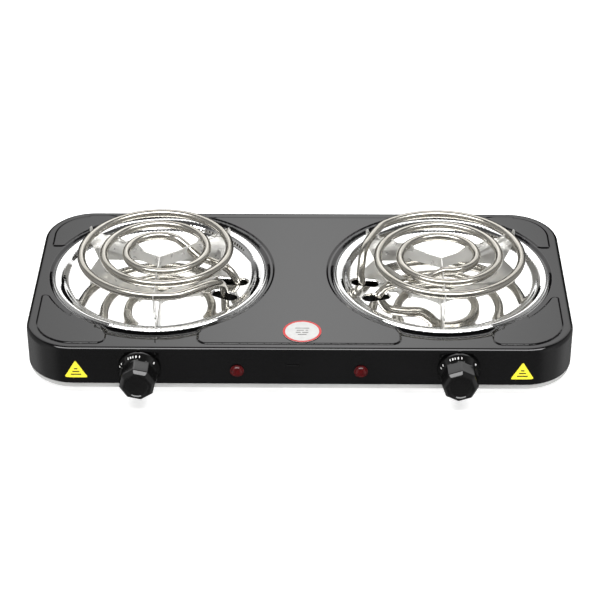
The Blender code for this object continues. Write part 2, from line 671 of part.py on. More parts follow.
def lamp(name, side):
    x = side * LAMP_X
    proud = GAP
    dome = [(0.0, 0.0040 + proud)]
    for k in range(1, 5):
        a = math.radians(k * 22.5)
        dome.append((LENS_R * math.sin(a), proud + 0.0008 + 0.0032 * math.cos(a)))
    stem_r = LENS_R - 0.0010
    dome += [(LENS_R, proud), (stem_r, proud), (stem_r, -0.0040), (0.0, -0.0040)]
    turned("lamp_lens_" + name, dome, (x, FRONT_Y, LAMP_Z), LENS_RED, axis='Y', sides=16)
    rod("lamp_body_" + name, LAMP_BODY_R, LAMP_BODY_LENGTH,
        (x, LAMP_BODY_Y + LAMP_BODY_LENGTH / 2, LAMP_Z), LAMP_WHITE, axis='Y', sides=16)


# ---- Labels and marks --------------------------------------------------------------------
def labels():
    side_len = 0.0203
    height = side_len * math.sqrt(3) / 2
    triangle = []
    for cx, cz, start in ((0, height * 0.55, 30), (-side_len * 0.45, -height * 0.33, 150),
                          (side_len * 0.45, -height * 0.33, 270)):
        triangle += arc(cx, cz, 0.0008, start, start + 120, 3)
    for name, side in SIDES:
        label = slab("surface_label_" + name, triangle, LABEL_SHEET, YELLOW)
        label.name = "surface_label_" + name
        label.rotation_euler = (math.radians(90), 0.0, 0.0)
        label.location = (side * LABEL_X, FRONT_Y - GAP - LABEL_SHEET / 2, PLATE_Z - 0.0225)
        pip = (0.0030, 0.0010, 0.0014)
        box("index_pip_" + name, pip, (side * KNOB_X, FRONT_Y - 0.0002, PLATE_Z - 0.0013),
            KNOB_BLACK, bevel=0.0003)
    rod("plate_sticker", 0.01625, LABEL_SHEET,
        (0.0025, HOUSING_Y - 0.0878, PLATE_Z + PANEL_RISE + GAP + LABEL_SHEET / 2), WHITE,
        sides=32)
    box("front_mark", (0.0106, LABEL_SHEET, 0.0015), (-0.0054, FRONT_Y - GAP, PLATE_Z - 0.016),
        KNOB_BLACK)


# ---- Supply side and wiring --------------------------------------------------------------
def supply():
    box("supply_terminal_block", SUPPLY_SIZE, SUPPLY_AT, LAMP_WHITE, bevel=BLOCK_BEVEL)
    wall = -SHEET
    bush = [(0.0034, GLAND_REACH), (0.0062, GLAND_REACH), (0.0075, GLAND_REACH - 0.0012),
            (0.0078, GAP), (0.0049, GAP), (0.0049, wall - GAP), (0.0068, wall - GAP),
            (0.0062, wall - 0.0030), (0.0034, wall - 0.0030)]
    gland = turned("cord_gland", bush, (0, REAR_Y, GLAND_Z), RUBBER, axis='Y', ring=True, sides=16)
    gland.rotation_euler = (math.radians(-90), 0.0, 0.0)


def wiring():
    """Sleeved wires, each from one terminal's face to the next, a little off both."""
    floor = WIRE_FLOOR
    reach = 0.001
    for name, side in SIDES:
        thermo_y = THERMO_Y + THERMO_SIZE[1] + reach
        block = block_centre(side)
        block_low = BLOCK_TOP - BLOCK_SIZE[2] - reach
        back = SUPPLY_AT.y - SUPPLY_SIZE[1] / 2 - reach
        routes = {
            "supply_wire": [(side * 0.015, back, 0.016), (side * 0.018, back - 0.012, 0.013),
                            (side * 0.060, 0.070, floor), (side * 0.160, 0.040, floor),
                            (side * 0.172, -0.030, floor), (side * 0.150, -0.066, 0.014),
                            (side * (KNOB_X + 0.010), thermo_y + 0.006, 0.024),
                            (side * (KNOB_X + 0.010), thermo_y, 0.027)],
            "coil_wire": [(side * (KNOB_X - 0.010), thermo_y, 0.027),
                          (side * (KNOB_X - 0.010), thermo_y + 0.006, 0.024),
                          (side * 0.110, -0.060, 0.013), (side * 0.080, -0.030, floor),
                          (block.x + side * 0.003, block.y - 0.006, floor + 0.001),
                          (block.x, block.y, floor + 0.002), (block.x, block.y, block_low)],
            "return_wire": [(side * 0.007, back, 0.016), (side * 0.010, back - 0.014, 0.013),
                            (side * 0.030, 0.050, floor), (block.x - side * 0.012, 0.030, floor),
                            (block.x - side * 0.003, block.y + 0.014, 0.012),
                            (block.x - side * 0.002, block.y + 0.0065, block_low)],
            "lamp_wire": [(side * LAMP_X, LAMP_BODY_Y + LAMP_BODY_LENGTH + reach, LAMP_Z),
                          (side * LAMP_X, FRONT_Y + 0.032, LAMP_Z - 0.002),
                          (side * (LAMP_X - 0.003), -0.050, floor),
                          (block.x - side * 0.004, block.y - 0.014, floor),
                          (block.x - side * 0.003, block.y - 0.0075, block_low)],
        }
        for kind, route in routes.items():
            line = smooth_line([Vector(p) for p in route], 2)
            tube("%s_%s" % (kind, name), line, WIRE_R, SLEEVE)


# ---- Assembly ----------------------------------------------------------------------------
top_housing()
base_plate()
feet_and_screws()
for side_name, side_sign in SIDES:
    drip_pan(side_name, side_sign)
    tube("heating_coil_" + side_name, coil_points(side_sign), TUBE_R, SHEATH)
    coil_support(side_name, side_sign)
    terminal_block(side_name, side_sign)
    thermostat(side_name, side_sign)
    knob(side_name, side_sign)
    lamp(side_name, side_sign)
labels()
supply()
wiring()
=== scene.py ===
"""Looks of the twin hot plate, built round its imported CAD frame. Metres, +Z up, front at -Y."""
import json
import math

import bmesh
import bpy
import numpy as np
from mathutils import Matrix, Vector
from mathutils.geometry import delaunay_2d_cdt

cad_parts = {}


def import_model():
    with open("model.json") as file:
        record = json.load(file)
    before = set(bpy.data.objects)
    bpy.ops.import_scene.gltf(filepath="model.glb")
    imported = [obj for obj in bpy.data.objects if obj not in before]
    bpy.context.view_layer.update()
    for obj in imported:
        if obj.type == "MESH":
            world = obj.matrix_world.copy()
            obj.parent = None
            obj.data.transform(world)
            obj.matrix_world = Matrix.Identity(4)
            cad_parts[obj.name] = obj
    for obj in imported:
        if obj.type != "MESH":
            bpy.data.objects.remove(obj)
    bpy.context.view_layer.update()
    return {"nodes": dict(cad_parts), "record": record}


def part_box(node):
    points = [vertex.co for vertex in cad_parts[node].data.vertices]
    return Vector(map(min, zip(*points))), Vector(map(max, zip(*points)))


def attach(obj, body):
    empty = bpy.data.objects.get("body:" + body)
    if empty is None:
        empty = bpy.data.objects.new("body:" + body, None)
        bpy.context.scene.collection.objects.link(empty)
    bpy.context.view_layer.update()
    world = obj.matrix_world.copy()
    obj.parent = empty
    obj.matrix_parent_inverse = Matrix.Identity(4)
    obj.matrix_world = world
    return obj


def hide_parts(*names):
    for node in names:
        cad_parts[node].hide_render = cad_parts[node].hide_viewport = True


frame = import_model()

MM = 0.001
SIDES = (("left", -1), ("right", 1))
BODY = "hot_plate"


# ---- Sizes read from the frame
def middle(node):
    low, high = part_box(node)
    return (low + high) / 2


PANEL_RISE = 1.0 * MM
SHEET = 0.9 * MM
LOW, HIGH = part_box("top_housing")
HOUSING_W = HIGH.x - LOW.x
HOUSING_D = HIGH.y - LOW.y
HOUSING_Y = (LOW.y + HIGH.y) / 2
FRONT_Y = LOW.y
REAR_Y = HIGH.y
SKIRT_Z = LOW.z
PLATE_Z = HIGH.z - PANEL_RISE
CORNER_R = 43 * MM
EDGE_R = 4 * MM

PAN = {side: middle("drip_pan_" + name) for name, side in SIDES}
PAN_X = PAN[1].x
PAN_Y = PAN[1].y - HOUSING_Y                     # behind the housing's middle
PAN_LOW, PAN_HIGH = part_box("drip_pan_right")
PAN_R = (PAN_HIGH.x - PAN_LOW.x) / 2
RIM_Z = PAN_HIGH.z
PAN_TURN = {-1: 0.0, 1: 211.0}                   # the right burner is the left one, turned
SEAT_R = 88.5 * MM
SEAT_DROP = 1.6 * MM

TUBE_R = 3.25 * MM
SHEATH_R = 3.6 * MM                   # the sheath as it looks
COIL_Z = {side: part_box("heating_coil_" + name)[1].z - TUBE_R for name, side in SIDES}
COIL_SHIFT = {-1: Vector((1.6, 2.2, 0)) * MM, 1: Vector((2.0, -1.5, 0)) * MM}
END_SHIFT = {-1: (Vector((0, 0, 0)), Vector((0, 0, 0))),      # the inner end, the outer end
             1: (Vector((6.6, 2.2, 0)) * MM, Vector((-5.9, 0.4, 0)) * MM)}
COIL_R0 = 20.5 * MM
COIL_PITCH = 19.7 * MM
COIL_START = 60.0
COIL_END = 1000.0
LEAD_Z = 18.7 * MM
ARM_ANGLES = (-90.0, 30.0, 150.0)
ARM_SHEET = 0.9 * MM
FOOT_R = 63 * MM

KNOB = {side: middle("knob_" + name) for name, side in SIDES}
SHAFT_R = 3 * MM
LAMP = {side: middle("lamp_lens_" + name) for name, side in SIDES}
LENS_R = (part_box("lamp_lens_left")[1].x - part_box("lamp_lens_left")[0].x) / 2
LABEL = {side: middle("surface_label_" + name) for name, side in SIDES}
STICKER = middle("plate_sticker")
STICKER_R = STICKER.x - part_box("plate_sticker")[0].x


# ---- Plan fields: signed distances in the plate's plane, negative inside
def rounded(rho, *fields):
    """The intersection of fields, its corners rounded to rho."""
    fields = np.array(fields)
    outside = np.sqrt((np.maximum(fields + rho, 0.0) ** 2).sum(axis=0))
    return np.minimum(fields.max(axis=0) + rho, 0.0) + outside - rho


def rounded_box(x, y, half_w, half_d, radius):
    dx = np.abs(x) - half_w + radius
    dy = np.abs(y) - half_d + radius
    outside = np.hypot(np.maximum(dx, 0.0), np.maximum(dy, 0.0))
    return outside + np.minimum(np.maximum(dx, dy), 0.0) - radius


def pan_distance(x, y):
    """Distance from the nearer pan's centre, about the housing's middle."""
    return np.hypot(np.abs(x) - PAN_X, y - PAN_Y)


def central_panel(x, y):
    across = np.abs(x)
    clear = 99.2 * MM - pan_distance(x, y)
    front = rounded(9 * MM, clear, -106.4 * MM - y, across - 86.5 * MM)
    rear = rounded(3.4 * MM, clear, y - 103.8 * MM, across - 120 * MM)
    return np.where(y < 0, front, rear)


def front_corner_panel(x, y):
    across = np.abs(x)
    clear = 101.3 * MM - pan_distance(x, y)
    edge = rounded_box(x, y, 224.6 * MM, 106.4 * MM, 35 * MM)
    inner = rounded(9 * MM, clear, edge, 162 * MM - across)
    outer = rounded(3.4 * MM, clear, edge, y + 30 * MM)
    return np.where(across < 195 * MM, inner, outer)


def rear_corner_panel(x, y):
    across = np.abs(x)
    clear = 97.8 * MM - pan_distance(x, y)
    edge = rounded_box(x, y, 224.6 * MM, 104.6 * MM, 34 * MM)
    inner = rounded(3.4 * MM, clear, edge, 172 * MM - across)
    outer = rounded(3.4 * MM, clear, edge, 49.5 * MM - y)
    return np.where(across < 195 * MM, inner, outer)


def smooth_step(t):
    t = np.clip(t, 0.0, 1.0)
    return t * t * (3 - 2 * t)


RAMP = 2.4 * MM                      # plan width of a raised panel's slope
WELL_R = 97.6 * MM                   # where the plate starts to fall towards a pan
CRESCENT_R = 108.2 * MM              # the same in front of a pan, between the panels' tips
STEP_R = 94.9 * MM
PANELS = (central_panel, front_corner_panel, rear_corner_panel)


def crescent_share(x, y):
    """One in front of a pan, between the two panels' tips, and nought elsewhere."""
    bearing = np.degrees(np.arctan2(y - PAN_Y, np.abs(x) - PAN_X))
    return smooth_step((28 - np.abs(bearing + 89.5)) / 7)


def well_field(x, y):
    start = WELL_R + (CRESCENT_R - WELL_R) * crescent_share(x, y)
    return pan_distance(x, y) - start


def plate_height(x, y):
    """The pressed plate's top, about the housing's middle and the flat plate's height."""
    panel = np.minimum.reduce([field(x, y) for field in PANELS])
    height = PANEL_RISE * smooth_step(-panel / RAMP)
    reach = pan_distance(x, y)
    share = crescent_share(x, y)
    start = WELL_R + (CRESCENT_R - WELL_R) * share
    fall = np.clip((start - reach) / (start - STEP_R), 0.0, 1.0)
    bend = 0.12
    fall = np.where(fall < bend, fall * fall / (2 * bend), fall - bend / 2) / (1 - bend / 2)
    return height - SEAT_DROP * (1 + 1.1 * share) * np.clip(fall, 0.0, 1.0)


# ---- Mesh building
def gradient(height, x, y):
    eps = 0.02 * MM
    return ((height(x + eps, y) - height(x - eps, y)) / (2 * eps),
            (height(x, y + eps) - height(x, y - eps)) / (2 * eps))


def level_points(field, levels, low, high, step):
    """Points of the plan where a field takes each level, about a step apart."""
    xs = np.arange(low[0], high[0] + step, step)
    ys = np.arange(low[1], high[1] + step, step)
    grid_x, grid_y = np.meshgrid(xs, ys, indexing="ij")
    values = field(grid_x, grid_y)
    found = []
    for level in levels:
        past = values - level
        for a, b in (((slice(None, -1), slice(None)), (slice(1, None), slice(None))),
                     ((slice(None), slice(None, -1)), (slice(None), slice(1, None)))):
            crossed = past[a] * past[b] < 0
            share = past[a][crossed] / (past[a][crossed] - past[b][crossed])
            px = grid_x[a][crossed] + share * (grid_x[b][crossed] - grid_x[a][crossed])
            py = grid_y[a][crossed] + share * (grid_y[b][crossed] - grid_y[a][crossed])
            for _ in range(2):
                gx, gy = gradient(field, px, py)
                size = np.maximum(gx * gx + gy * gy, 0.2)
                miss = (field(px, py) - level) / size
                px = px - miss * gx
                py = py - miss * gy
            found.append(np.stack([px, py], axis=1))
    return np.concatenate(found)


def thinned(points, spacing):
    """One point from each cell of a fine grid."""
    cells = np.round(points / spacing).astype(int)
    _, first = np.unique(cells, axis=0, return_index=True)
    return points[np.sort(first)]


def contours(field, levels, low, high, step):
    """Points along a field's contours, evenly thinned along each one."""
    return np.concatenate([thinned(level_points(field, [level], low, high, step), 0.5 * step)
                           for level in levels])


def circle(centre, radius, count, turn=0.0):
    angles = np.radians(turn) + np.arange(count) * 2 * math.pi / count
    return np.stack([centre[0] + radius * np.cos(angles), centre[1] + radius * np.sin(angles)], 1)


def rounded_outline(half_w, half_d, radius, along, round_steps):
    """Points and outward directions round a rounded rectangle, anticlockwise."""
    corners = ((1, -1, -90), (1, 1, 0), (-1, 1, 90), (-1, -1, 180))
    points = []
    normals = []
    for n, (sx, sy, start) in enumerate(corners):
        cx = sx * (half_w - radius)
        cy = sy * (half_d - radius)
        for k in range(round_steps + 1):
            a = math.radians(start + 90 * k / round_steps)
            normals.append((math.cos(a), math.sin(a)))
            points.append((cx + radius * math.cos(a), cy + radius * math.sin(a)))
        tx, ty, _ = corners[(n + 1) % 4]
        nxt = (tx * (half_w - radius), ty * (half_d - radius))
        length = math.hypot(nxt[0] - cx, nxt[1] - cy)
        steps = max(1, round(length / along))
        for k in range(1, steps):
            points.append((points[-1][0] + (nxt[0] - cx) / steps,
                           points[-1][1] + (nxt[1] - cy) / steps))
            normals.append(normals[-1])
    return np.array(points), np.array(normals)


def triangulated(points, edges, keep):
    """Delaunay triangles of plan points holding the edges, kept where keep(x, y) is true."""
    flat = [Vector(p) for p in points]
    _, _, faces, origin, _, _ = delaunay_2d_cdt(flat, edges, [], 0, 1e-7)
    names = [ids[0] if ids else None for ids in origin]
    tris = [[names[v] for v in face] for face in faces]
    tris = np.array([t for t in tris if None not in t])
    centre = np.asarray(points)[tris].mean(axis=1)
    return tris[keep(centre[:, 0], centre[:, 1])].tolist()


def loop_edges(first, count):
    return [(first + k, first + (k + 1) % count) for k in range(count)]


class Surface:
    """One face of a sheet: points, their exact normals and the faces between them."""

    def __init__(self):
        self.points = []
        self.normals = []
        self.faces = []

    def add(self, points, normals):
        first = len(self.points)
        self.points.extend(map(tuple, points))
        self.normals.extend(map(tuple, normals))
        return list(range(first, len(self.points)))

    def strip(self, row, following):
        """Quads between two closed rows of the same length."""
        for k in range(len(row)):
            m = (k + 1) % len(row)
            self.faces.append([row[k], following[k], following[m], row[m]])

    def solid(self, name, thickness):
        """The sheet, thickened against its normals and closed along every free edge."""
        points = np.array(self.points)
        normals = np.array(self.normals)
        normals /= np.linalg.norm(normals, axis=1)[:, None]
        count = len(points)
        verts = np.concatenate([points, points - normals * thickness])
        uses = {}
        for face in self.faces:
            for a, b in zip(face, face[1:] + face[:1]):
                uses[(a, b)] = uses.get((a, b), 0) + 1
        free = [(a, b) for a, b in uses if (b, a) not in uses]
        faces = [list(face) for face in self.faces]
        faces += [[v + count for v in reversed(face)] for face in self.faces]
        plain = len(faces)
        faces += [[b, a, a + count, b + count] for a, b in free]
        mesh = bpy.data.meshes.new(name)
        mesh.from_pydata(verts.tolist(), [], faces)
        mesh.shade_smooth()
        both = np.concatenate([normals, -normals])
        custom = []
        for poly in mesh.polygons:
            flat = poly.index >= plain
            for vert in poly.vertices:
                custom.append(tuple(poly.normal) if flat else tuple(both[vert]))
        mesh.normals_split_custom_set(custom)
        return link(name, mesh)


def link(name, mesh):
    obj = bpy.data.objects.new(name, mesh)
    bpy.context.scene.collection.objects.link(obj)
    return obj


def from_bmesh(name, bm, sharp=None):
    mesh = bpy.data.meshes.new(name)
    bm.to_mesh(mesh)
    bm.free()
    if sharp:
        mesh.shade_smooth()
        mesh.set_sharp_from_angle(angle=math.radians(sharp))
    return link(name, mesh)


def lofted(name, rows, sharp=30, close=False):
    """A solid through closed rows of points; its first and last rows are capped, or joined."""
    bm = bmesh.new()
    made = [[bm.verts.new(p) for p in row] for row in rows]
    pairs = list(zip(made, made[1:]))
    if close:
        pairs.append((made[-1], made[0]))
    for row, following in pairs:
        for k in range(len(row)):
            m = (k + 1) % len(row)
            bm.faces.new((row[k], row[m], following[m], following[k]))
    if not close:
        bm.faces.new(made[0][::-1])
        bm.faces.new(made[-1])
    bmesh.ops.recalc_face_normals(bm, faces=bm.faces)
    return from_bmesh(name, bm, sharp)


def lathe(name, profile, centre, axis='Z', sides=64, sharp=30, close=False):
    """A profile of (radius, height) turned about Z, or about -Y for axis 'Y'."""
    rows = []
    for r, h in profile:
        row = []
        for k in range(sides):
            a = 2 * math.pi * k / sides
            x, y = r * math.cos(a), r * math.sin(a)
            point = Vector((x, y, h)) if axis == 'Z' else Vector((x, -h, y))
            row.append(Vector(centre) + point)
        rows.append(row)
    return lofted(name, rows, sharp, close)


def smooth_line(points, steps):
    """Points along a Catmull-Rom curve through the given ones."""
    ends = [points[0] * 2 - points[1]] + list(points) + [points[-1] * 2 - points[-2]]
    line = []
    for i in range(1, len(ends) - 2):
        p0, p1, p2, p3 = ends[i - 1:i + 3]
        for k in range(steps):
            t = k / steps
            line.append(0.5 * (2 * p1 + (p2 - p0) * t + (2 * p0 - 5 * p1 + 4 * p2 - p3) * t * t
                               + (3 * p1 - p0 - 3 * p2 + p3) * t ** 3))
    line.append(ends[-2])
    return line


def swept(name, line, radius, sides=28):
    """A round tube along a line, its frame carried along without twist."""
    rows = []
    side = None
    for k, at in enumerate(line):
        ahead = line[min(k + 1, len(line) - 1)] - line[max(k - 1, 0)]
        ahead.normalize()
        if side is None:
            side = ahead.orthogonal()
        side = (side - ahead * side.dot(ahead)).normalized()
        up = ahead.cross(side)
        rows.append([at + (side * math.cos(a) + up * math.sin(a)) * radius
                     for a in (2 * math.pi * n / sides for n in range(sides))])
    return lofted(name, rows, sharp=50)


def polar(radius, degrees):
    a = math.radians(degrees)
    return Vector((radius * math.cos(a), radius * math.sin(a), 0.0))


# ---- Materials
class Nodes:
    """A node tree and short ways to add to it."""

    def __init__(self, tree, coordinates):
        self.nodes = tree.nodes
        self.links = tree.links
        self.coords = self.nodes.new("ShaderNodeTexCoord").outputs[coordinates]

    def add(self, kind, result, inputs, **settings):
        """A new node's output; each input gets a value, or is linked to another's output."""
        node = self.nodes.new("ShaderNode" + kind)
        for name, value in settings.items():
            setattr(node, name, value)
        for name, value in inputs.items():
            if isinstance(value, bpy.types.NodeSocket):
                self.links.new(value, node.inputs[name])
            else:
                node.inputs[name].default_value = value
        return node.outputs[result]

    def axes(self):
        """The X, Y and Z of the coordinates."""
        node = self.nodes.new("ShaderNodeSeparateXYZ")
        self.links.new(self.coords, node.inputs["Vector"])
        return node.outputs["X"], node.outputs["Y"], node.outputs["Z"]

    def math(self, operation, *values):
        return self.add("Math", 0, dict(enumerate(values)), operation=operation)

    def mapped(self, source, start, end, low, high, ease='SMOOTHSTEP'):
        """A source mapped from start..end to low..high."""
        limits = {"From Min": start, "From Max": end, "To Min": low, "To Max": high}
        return self.add("MapRange", "Result", {"Value": source, **limits}, interpolation_type=ease)


class Material(Nodes):
    """A Principled shader and short ways to feed it."""

    def __init__(self, name, color, roughness, metallic=0.0):
        self.mat = bpy.data.materials.new(name)
        self.mat.use_nodes = True
        super().__init__(self.mat.node_tree, "Object")
        self.shader = self.nodes["Principled BSDF"]
        self.bumps = {}
        self.set("Base Color", (*color, 1.0))
        self.set("Roughness", roughness)
        self.set("Metallic", metallic)
        self.set("IOR", 1.5)

    def set(self, socket, value):
        self.shader.inputs[socket].default_value = value

    def stretched(self, scale):
        return self.add("Mapping", "Vector", {"Vector": self.coords, "Scale": scale})

    def noise(self, scale, detail, stretch=None):
        vector = self.stretched(stretch) if stretch else self.coords
        return self.add("TexNoise", "Fac", {"Scale": scale, "Detail": detail, "Vector": vector})

    def tint(self, source, low, high):
        """Base colour between two colours, by a 0..1 source."""
        node = self.nodes.new("ShaderNodeValToRGB")
        for stop, position, color in zip(node.color_ramp.elements, (0.3, 0.7), (low, high)):
            stop.position = position
            stop.color = (*color, 1.0)
        self.links.new(source, node.inputs["Fac"])
        self.links.new(node.outputs["Color"], self.shader.inputs["Base Color"])

    def bump(self, source, strength, depth):
        """Relief added to the earlier bumps; its depth is in mm."""
        inputs = {"Height": source, "Strength": strength, "Distance": depth * MM}
        normal = self.add("Bump", "Normal", {**inputs, **self.bumps})
        self.bumps = {"Normal": normal}
        self.links.new(normal, self.shader.inputs["Normal"])


def finish(name, color, roughness, tint, polish=None, bumps=(), metallic=0.0):
    """A material from noises, each given as (scale, detail, ...) and what it drives.

    A tint runs from a darker to a lighter colour, a polish from a lower to a higher
    roughness, and a bump has its strength and its depth in mm.
    """
    m = Material(name, color, roughness, metallic)
    m.tint(m.noise(*tint[:2]), *tint[2:])
    if polish:
        spread = m.mapped(m.noise(*polish[:2]), 0.3, 0.7, *polish[2:], ease='LINEAR')
        m.links.new(spread, m.shader.inputs["Roughness"])
    for scale, detail, strength, depth in bumps:
        m.bump(m.noise(scale, detail), strength, depth)
    return m


def scaled(color, share):
    return [min(c * share, 1.0) for c in color]


def enamel():
    return finish("black_gloss_enamel", (0.003, 0.003, 0.0031), 0.05,
                  (14, 3, (0.0024, 0.0024, 0.0026), (0.0038, 0.0038, 0.0040)),
                  (60, 5, 0.030, 0.060), ((260, 2, 0.02, 0.2), (2600, 1, 0.010, 0.02)))


def chrome():
    return finish("bright_chrome", (0.90, 0.90, 0.89), 0.04,
                  (30, 3, (0.88, 0.88, 0.87), (0.92, 0.92, 0.915)), (120, 5, 0.02, 0.06),
                  ((40, 2, 0.05, 0.4), (1800, 2, 0.02, 0.02)), metallic=1.0)


def sheath():
    return finish("drawn_coil_sheath", (0.47, 0.45, 0.405), 0.26,
                  (38, 4, (0.43, 0.41, 0.365), (0.51, 0.49, 0.445)), (90, 5, 0.20, 0.28),
                  ((900, 3, 0.02, 0.02),), metallic=1.0)


def bracket():
    return finish("stamped_support_steel", (0.72, 0.71, 0.68), 0.30,
                  (40, 3, (0.69, 0.68, 0.65), (0.75, 0.74, 0.71)), (120, 4, 0.26, 0.34),
                  ((400, 2, 0.03, 0.05),), metallic=0.6)


def tray_paint():
    m = finish("silver_tray_paint", (0.60, 0.60, 0.59), 0.40,
               (25, 5, (0.57, 0.57, 0.56), (0.63, 0.63, 0.62)), (80, 5, 0.34, 0.46), metallic=0.2)
    m.bump(m.noise(700, 3, stretch=(0.04, 1, 1)), 0.06, 0.05)
    return m


def knob_moulding():
    return finish("black_knob_moulding", (0.004, 0.004, 0.004), 0.10,
                  (90, 4, [0.0032] * 3, [0.0050] * 3), (300, 5, 0.08, 0.13),
                  ((900, 3, 0.02, 0.05),))


def ruby():
    m = finish("red_lamp_lens", (0.060, 0.001, 0.002), 0.08,
               (300, 3, (0.045, 0.0006, 0.0012), (0.080, 0.002, 0.003)), (500, 3, 0.05, 0.11),
               ((700, 2, 0.04, 0.05),))
    m.set("Subsurface Weight", 0.15)
    m.set("Subsurface Radius", (0.003, 0.0003, 0.0003))
    return m


def printed(name, color, roughness=0.35):
    return finish(name, color, roughness, (220, 4, scaled(color, 0.94), scaled(color, 1.04)),
                  (500, 4, roughness - 0.05, roughness + 0.06), ((1800, 2, 0.04, 0.02),))


def rubber(name, shade=0.020):
    return finish(name, [shade] * 3, 0.75, (200, 4, [shade * 0.8] * 3, [shade * 1.4] * 3),
                  (400, 4, 0.65, 0.85), ((1200, 4, 0.25, 0.06),))


def steatite():
    return finish("unglazed_steatite", (0.80, 0.77, 0.69), 0.6,
                  (180, 6, (0.72, 0.69, 0.61), (0.84, 0.82, 0.75)), (300, 4, 0.5, 0.72),
                  ((1400, 5, 0.3, 0.06),))


def plated(name, color, roughness):
    return finish(name, color, roughness, (240, 5, scaled(color, 0.86), scaled(color, 1.08)),
                  (500, 5, roughness - 0.07, roughness + 0.10), ((1600, 4, 0.15, 0.04),),
                  metallic=1.0)


def cream_plastic():
    return finish("cream_moulded_plastic", (0.78, 0.75, 0.66), 0.42,
                  (150, 4, (0.73, 0.70, 0.61), (0.80, 0.78, 0.70)), (400, 4, 0.36, 0.5),
                  ((1500, 3, 0.12, 0.04),))


def braid():
    """Glass-fibre sleeve: two crossing sets of fine diagonal strands."""
    m = finish("braided_wire_sleeve", (0.74, 0.71, 0.61), 0.8,
               (500, 5, (0.62, 0.59, 0.49), (0.80, 0.78, 0.70)))
    for lean in ((1, 1, 1), (-1, 1, -1)):
        strands = {"Scale": 420, "Distortion": 0.6, "Vector": m.stretched(lean)}
        m.bump(m.add("TexWave", "Fac", strands, bands_direction='DIAGONAL'), 0.5, 0.12)
    return m


def studio_floor():
    m = finish("pale_floor", (0.80, 0.80, 0.80), 0.9, (3, 3, [0.79] * 3, [0.81] * 3))
    m.set("Emission Color", (1.0, 1.0, 1.0, 1.0))
    m.set("Emission Strength", 0.62)
    return m


MATS = {
    "enamel": enamel(),
    "tray_steel": tray_paint(),
    "pan_chrome": chrome(),
    "coil_sheath": sheath(),
    "support_steel": bracket(),
    "knob_plastic": knob_moulding(),
    "lens_red": ruby(),
    "lamp_plastic": cream_plastic(),
    "ceramic": steatite(),
    "zinc_steel": plated("zinc_plated_steel", (0.60, 0.60, 0.62), 0.34),
    "brass": plated("plain_brass", (0.72, 0.52, 0.22), 0.30),
    "label_yellow": printed("yellow_label_foil", (0.98, 0.86, 0.02), 0.4),
    "label_white": printed("white_label_foil", (0.52, 0.52, 0.51)),
    "mark_black": printed("black_inlay", (0.004, 0.004, 0.004), 0.3),
    "wire_sleeve": braid(),
    "foot_rubber": rubber("black_foot_rubber"),
    "gland_rubber": rubber("black_bush_rubber"),
    "terminal_phenolic": rubber("matt_black_phenolic", 0.006),
}
INK_BLACK = printed("black_print", (0.015, 0.014, 0.012), 0.4)
INK_RED = printed("red_print", (0.50, 0.02, 0.02), 0.4)
INK_GREY = printed("grey_print", (0.05, 0.045, 0.045), 0.4)
INK_WHITE = printed("white_print", (0.80, 0.80, 0.79), 0.45)


def placed(obj, node, slot, body=BODY, inks=()):
    """A finished piece: its materials, the body it rides on and the CAD node it stands for."""
    for made in (MATS[slot], *inks):
        obj.data.materials.append(made.mat)
    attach(obj, body)
    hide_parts(node)
    return obj


# ---- The pressed housing
ROUND_STEPS = 24


def clear_of(holes):
    """A test for flat points outside every hole; a hole is (x, y, radius)."""
    def keep(x, y):
        return np.all([np.hypot(x - hx, y - hy) > radius for hx, hy, radius in holes], axis=0)
    return keep


def edge_rows(surface, outline, normals, first, profile):
    """Rows that carry a sheet on from its plan outline; profile is (outward, height, tilt)."""
    row = first
    for out, z, tilt in profile:
        points = []
        slants = []
        for (x, y), (nx, ny) in zip(outline, normals):
            points.append((x + nx * out, y + HOUSING_Y + ny * out, z))
            slants.append((nx * math.sin(tilt), ny * math.sin(tilt), math.cos(tilt)))
        made = surface.add(points, slants)
        surface.strip(row, made)
        row = made
    return row


def punched_wall(surface, upper, lower, spans, holes, y, facing):
    """The skirt's straight front or rear, from one row to the next, with round holes."""
    ids = [upper[k] for k in spans] + [lower[k] for k in reversed(spans)]
    flat = [(surface.points[i][0] * facing, surface.points[i][2]) for i in ids]
    edges = loop_edges(0, len(flat))
    for x, z, radius in holes:
        ring = circle((x * facing, z), radius, 32)
        made = surface.add([(px * facing, y, pz) for px, pz in ring], [(0, -facing, 0)] * 32)
        edges += loop_edges(len(flat), 32)
        flat += ring.tolist()
        ids += made

    outside = clear_of([(x * facing, z, radius) for x, z, radius in holes])
    for tri in triangulated(flat, edges, outside):
        surface.faces.append([ids[k] for k in tri])


def plan_points():
    """Plan points that follow every pressed line of the plate, and a coarse grid between."""
    half_w = HOUSING_W / 2 - EDGE_R
    half_d = HOUSING_D / 2 - EDGE_R
    low = (-half_w, -half_d)
    high = (half_w, half_d)
    lines = [contours(field, [-RAMP * k / 4 for k in range(5)], low, high, 1.3 * MM)
             for field in PANELS]
    falls = (0.3, -0.3, -0.9, -1.6, -2.3, -3.4, -4.8, -6.4, -8, -9.6, -11.2, -12.8)
    lines.append(contours(well_field, [d * MM for d in falls], low, high, 1.7 * MM))
    for side in (-1, 1):
        for radius in (STEP_R, STEP_R - 0.8 * MM, 91.5 * MM):
            lines.append(circle((side * PAN_X, PAN_Y), radius, 200, turn=0.5))
    fine = thinned(np.concatenate(lines), 0.15 * MM)
    spacing = 7 * MM
    xs = np.arange(low[0] + spacing / 2, high[0], spacing)
    ys = np.arange(low[1] + spacing / 2, high[1], spacing)
    coarse = np.array([(x, y) for x in xs for y in ys])
    points = np.concatenate([fine, coarse])
    inside = rounded_box(points[:, 0], points[:, 1], half_w, half_d, CORNER_R - EDGE_R) < -0.7 * MM
    inside &= pan_distance(points[:, 0], points[:, 1]) > SEAT_R + 0.6 * MM
    return points[inside]


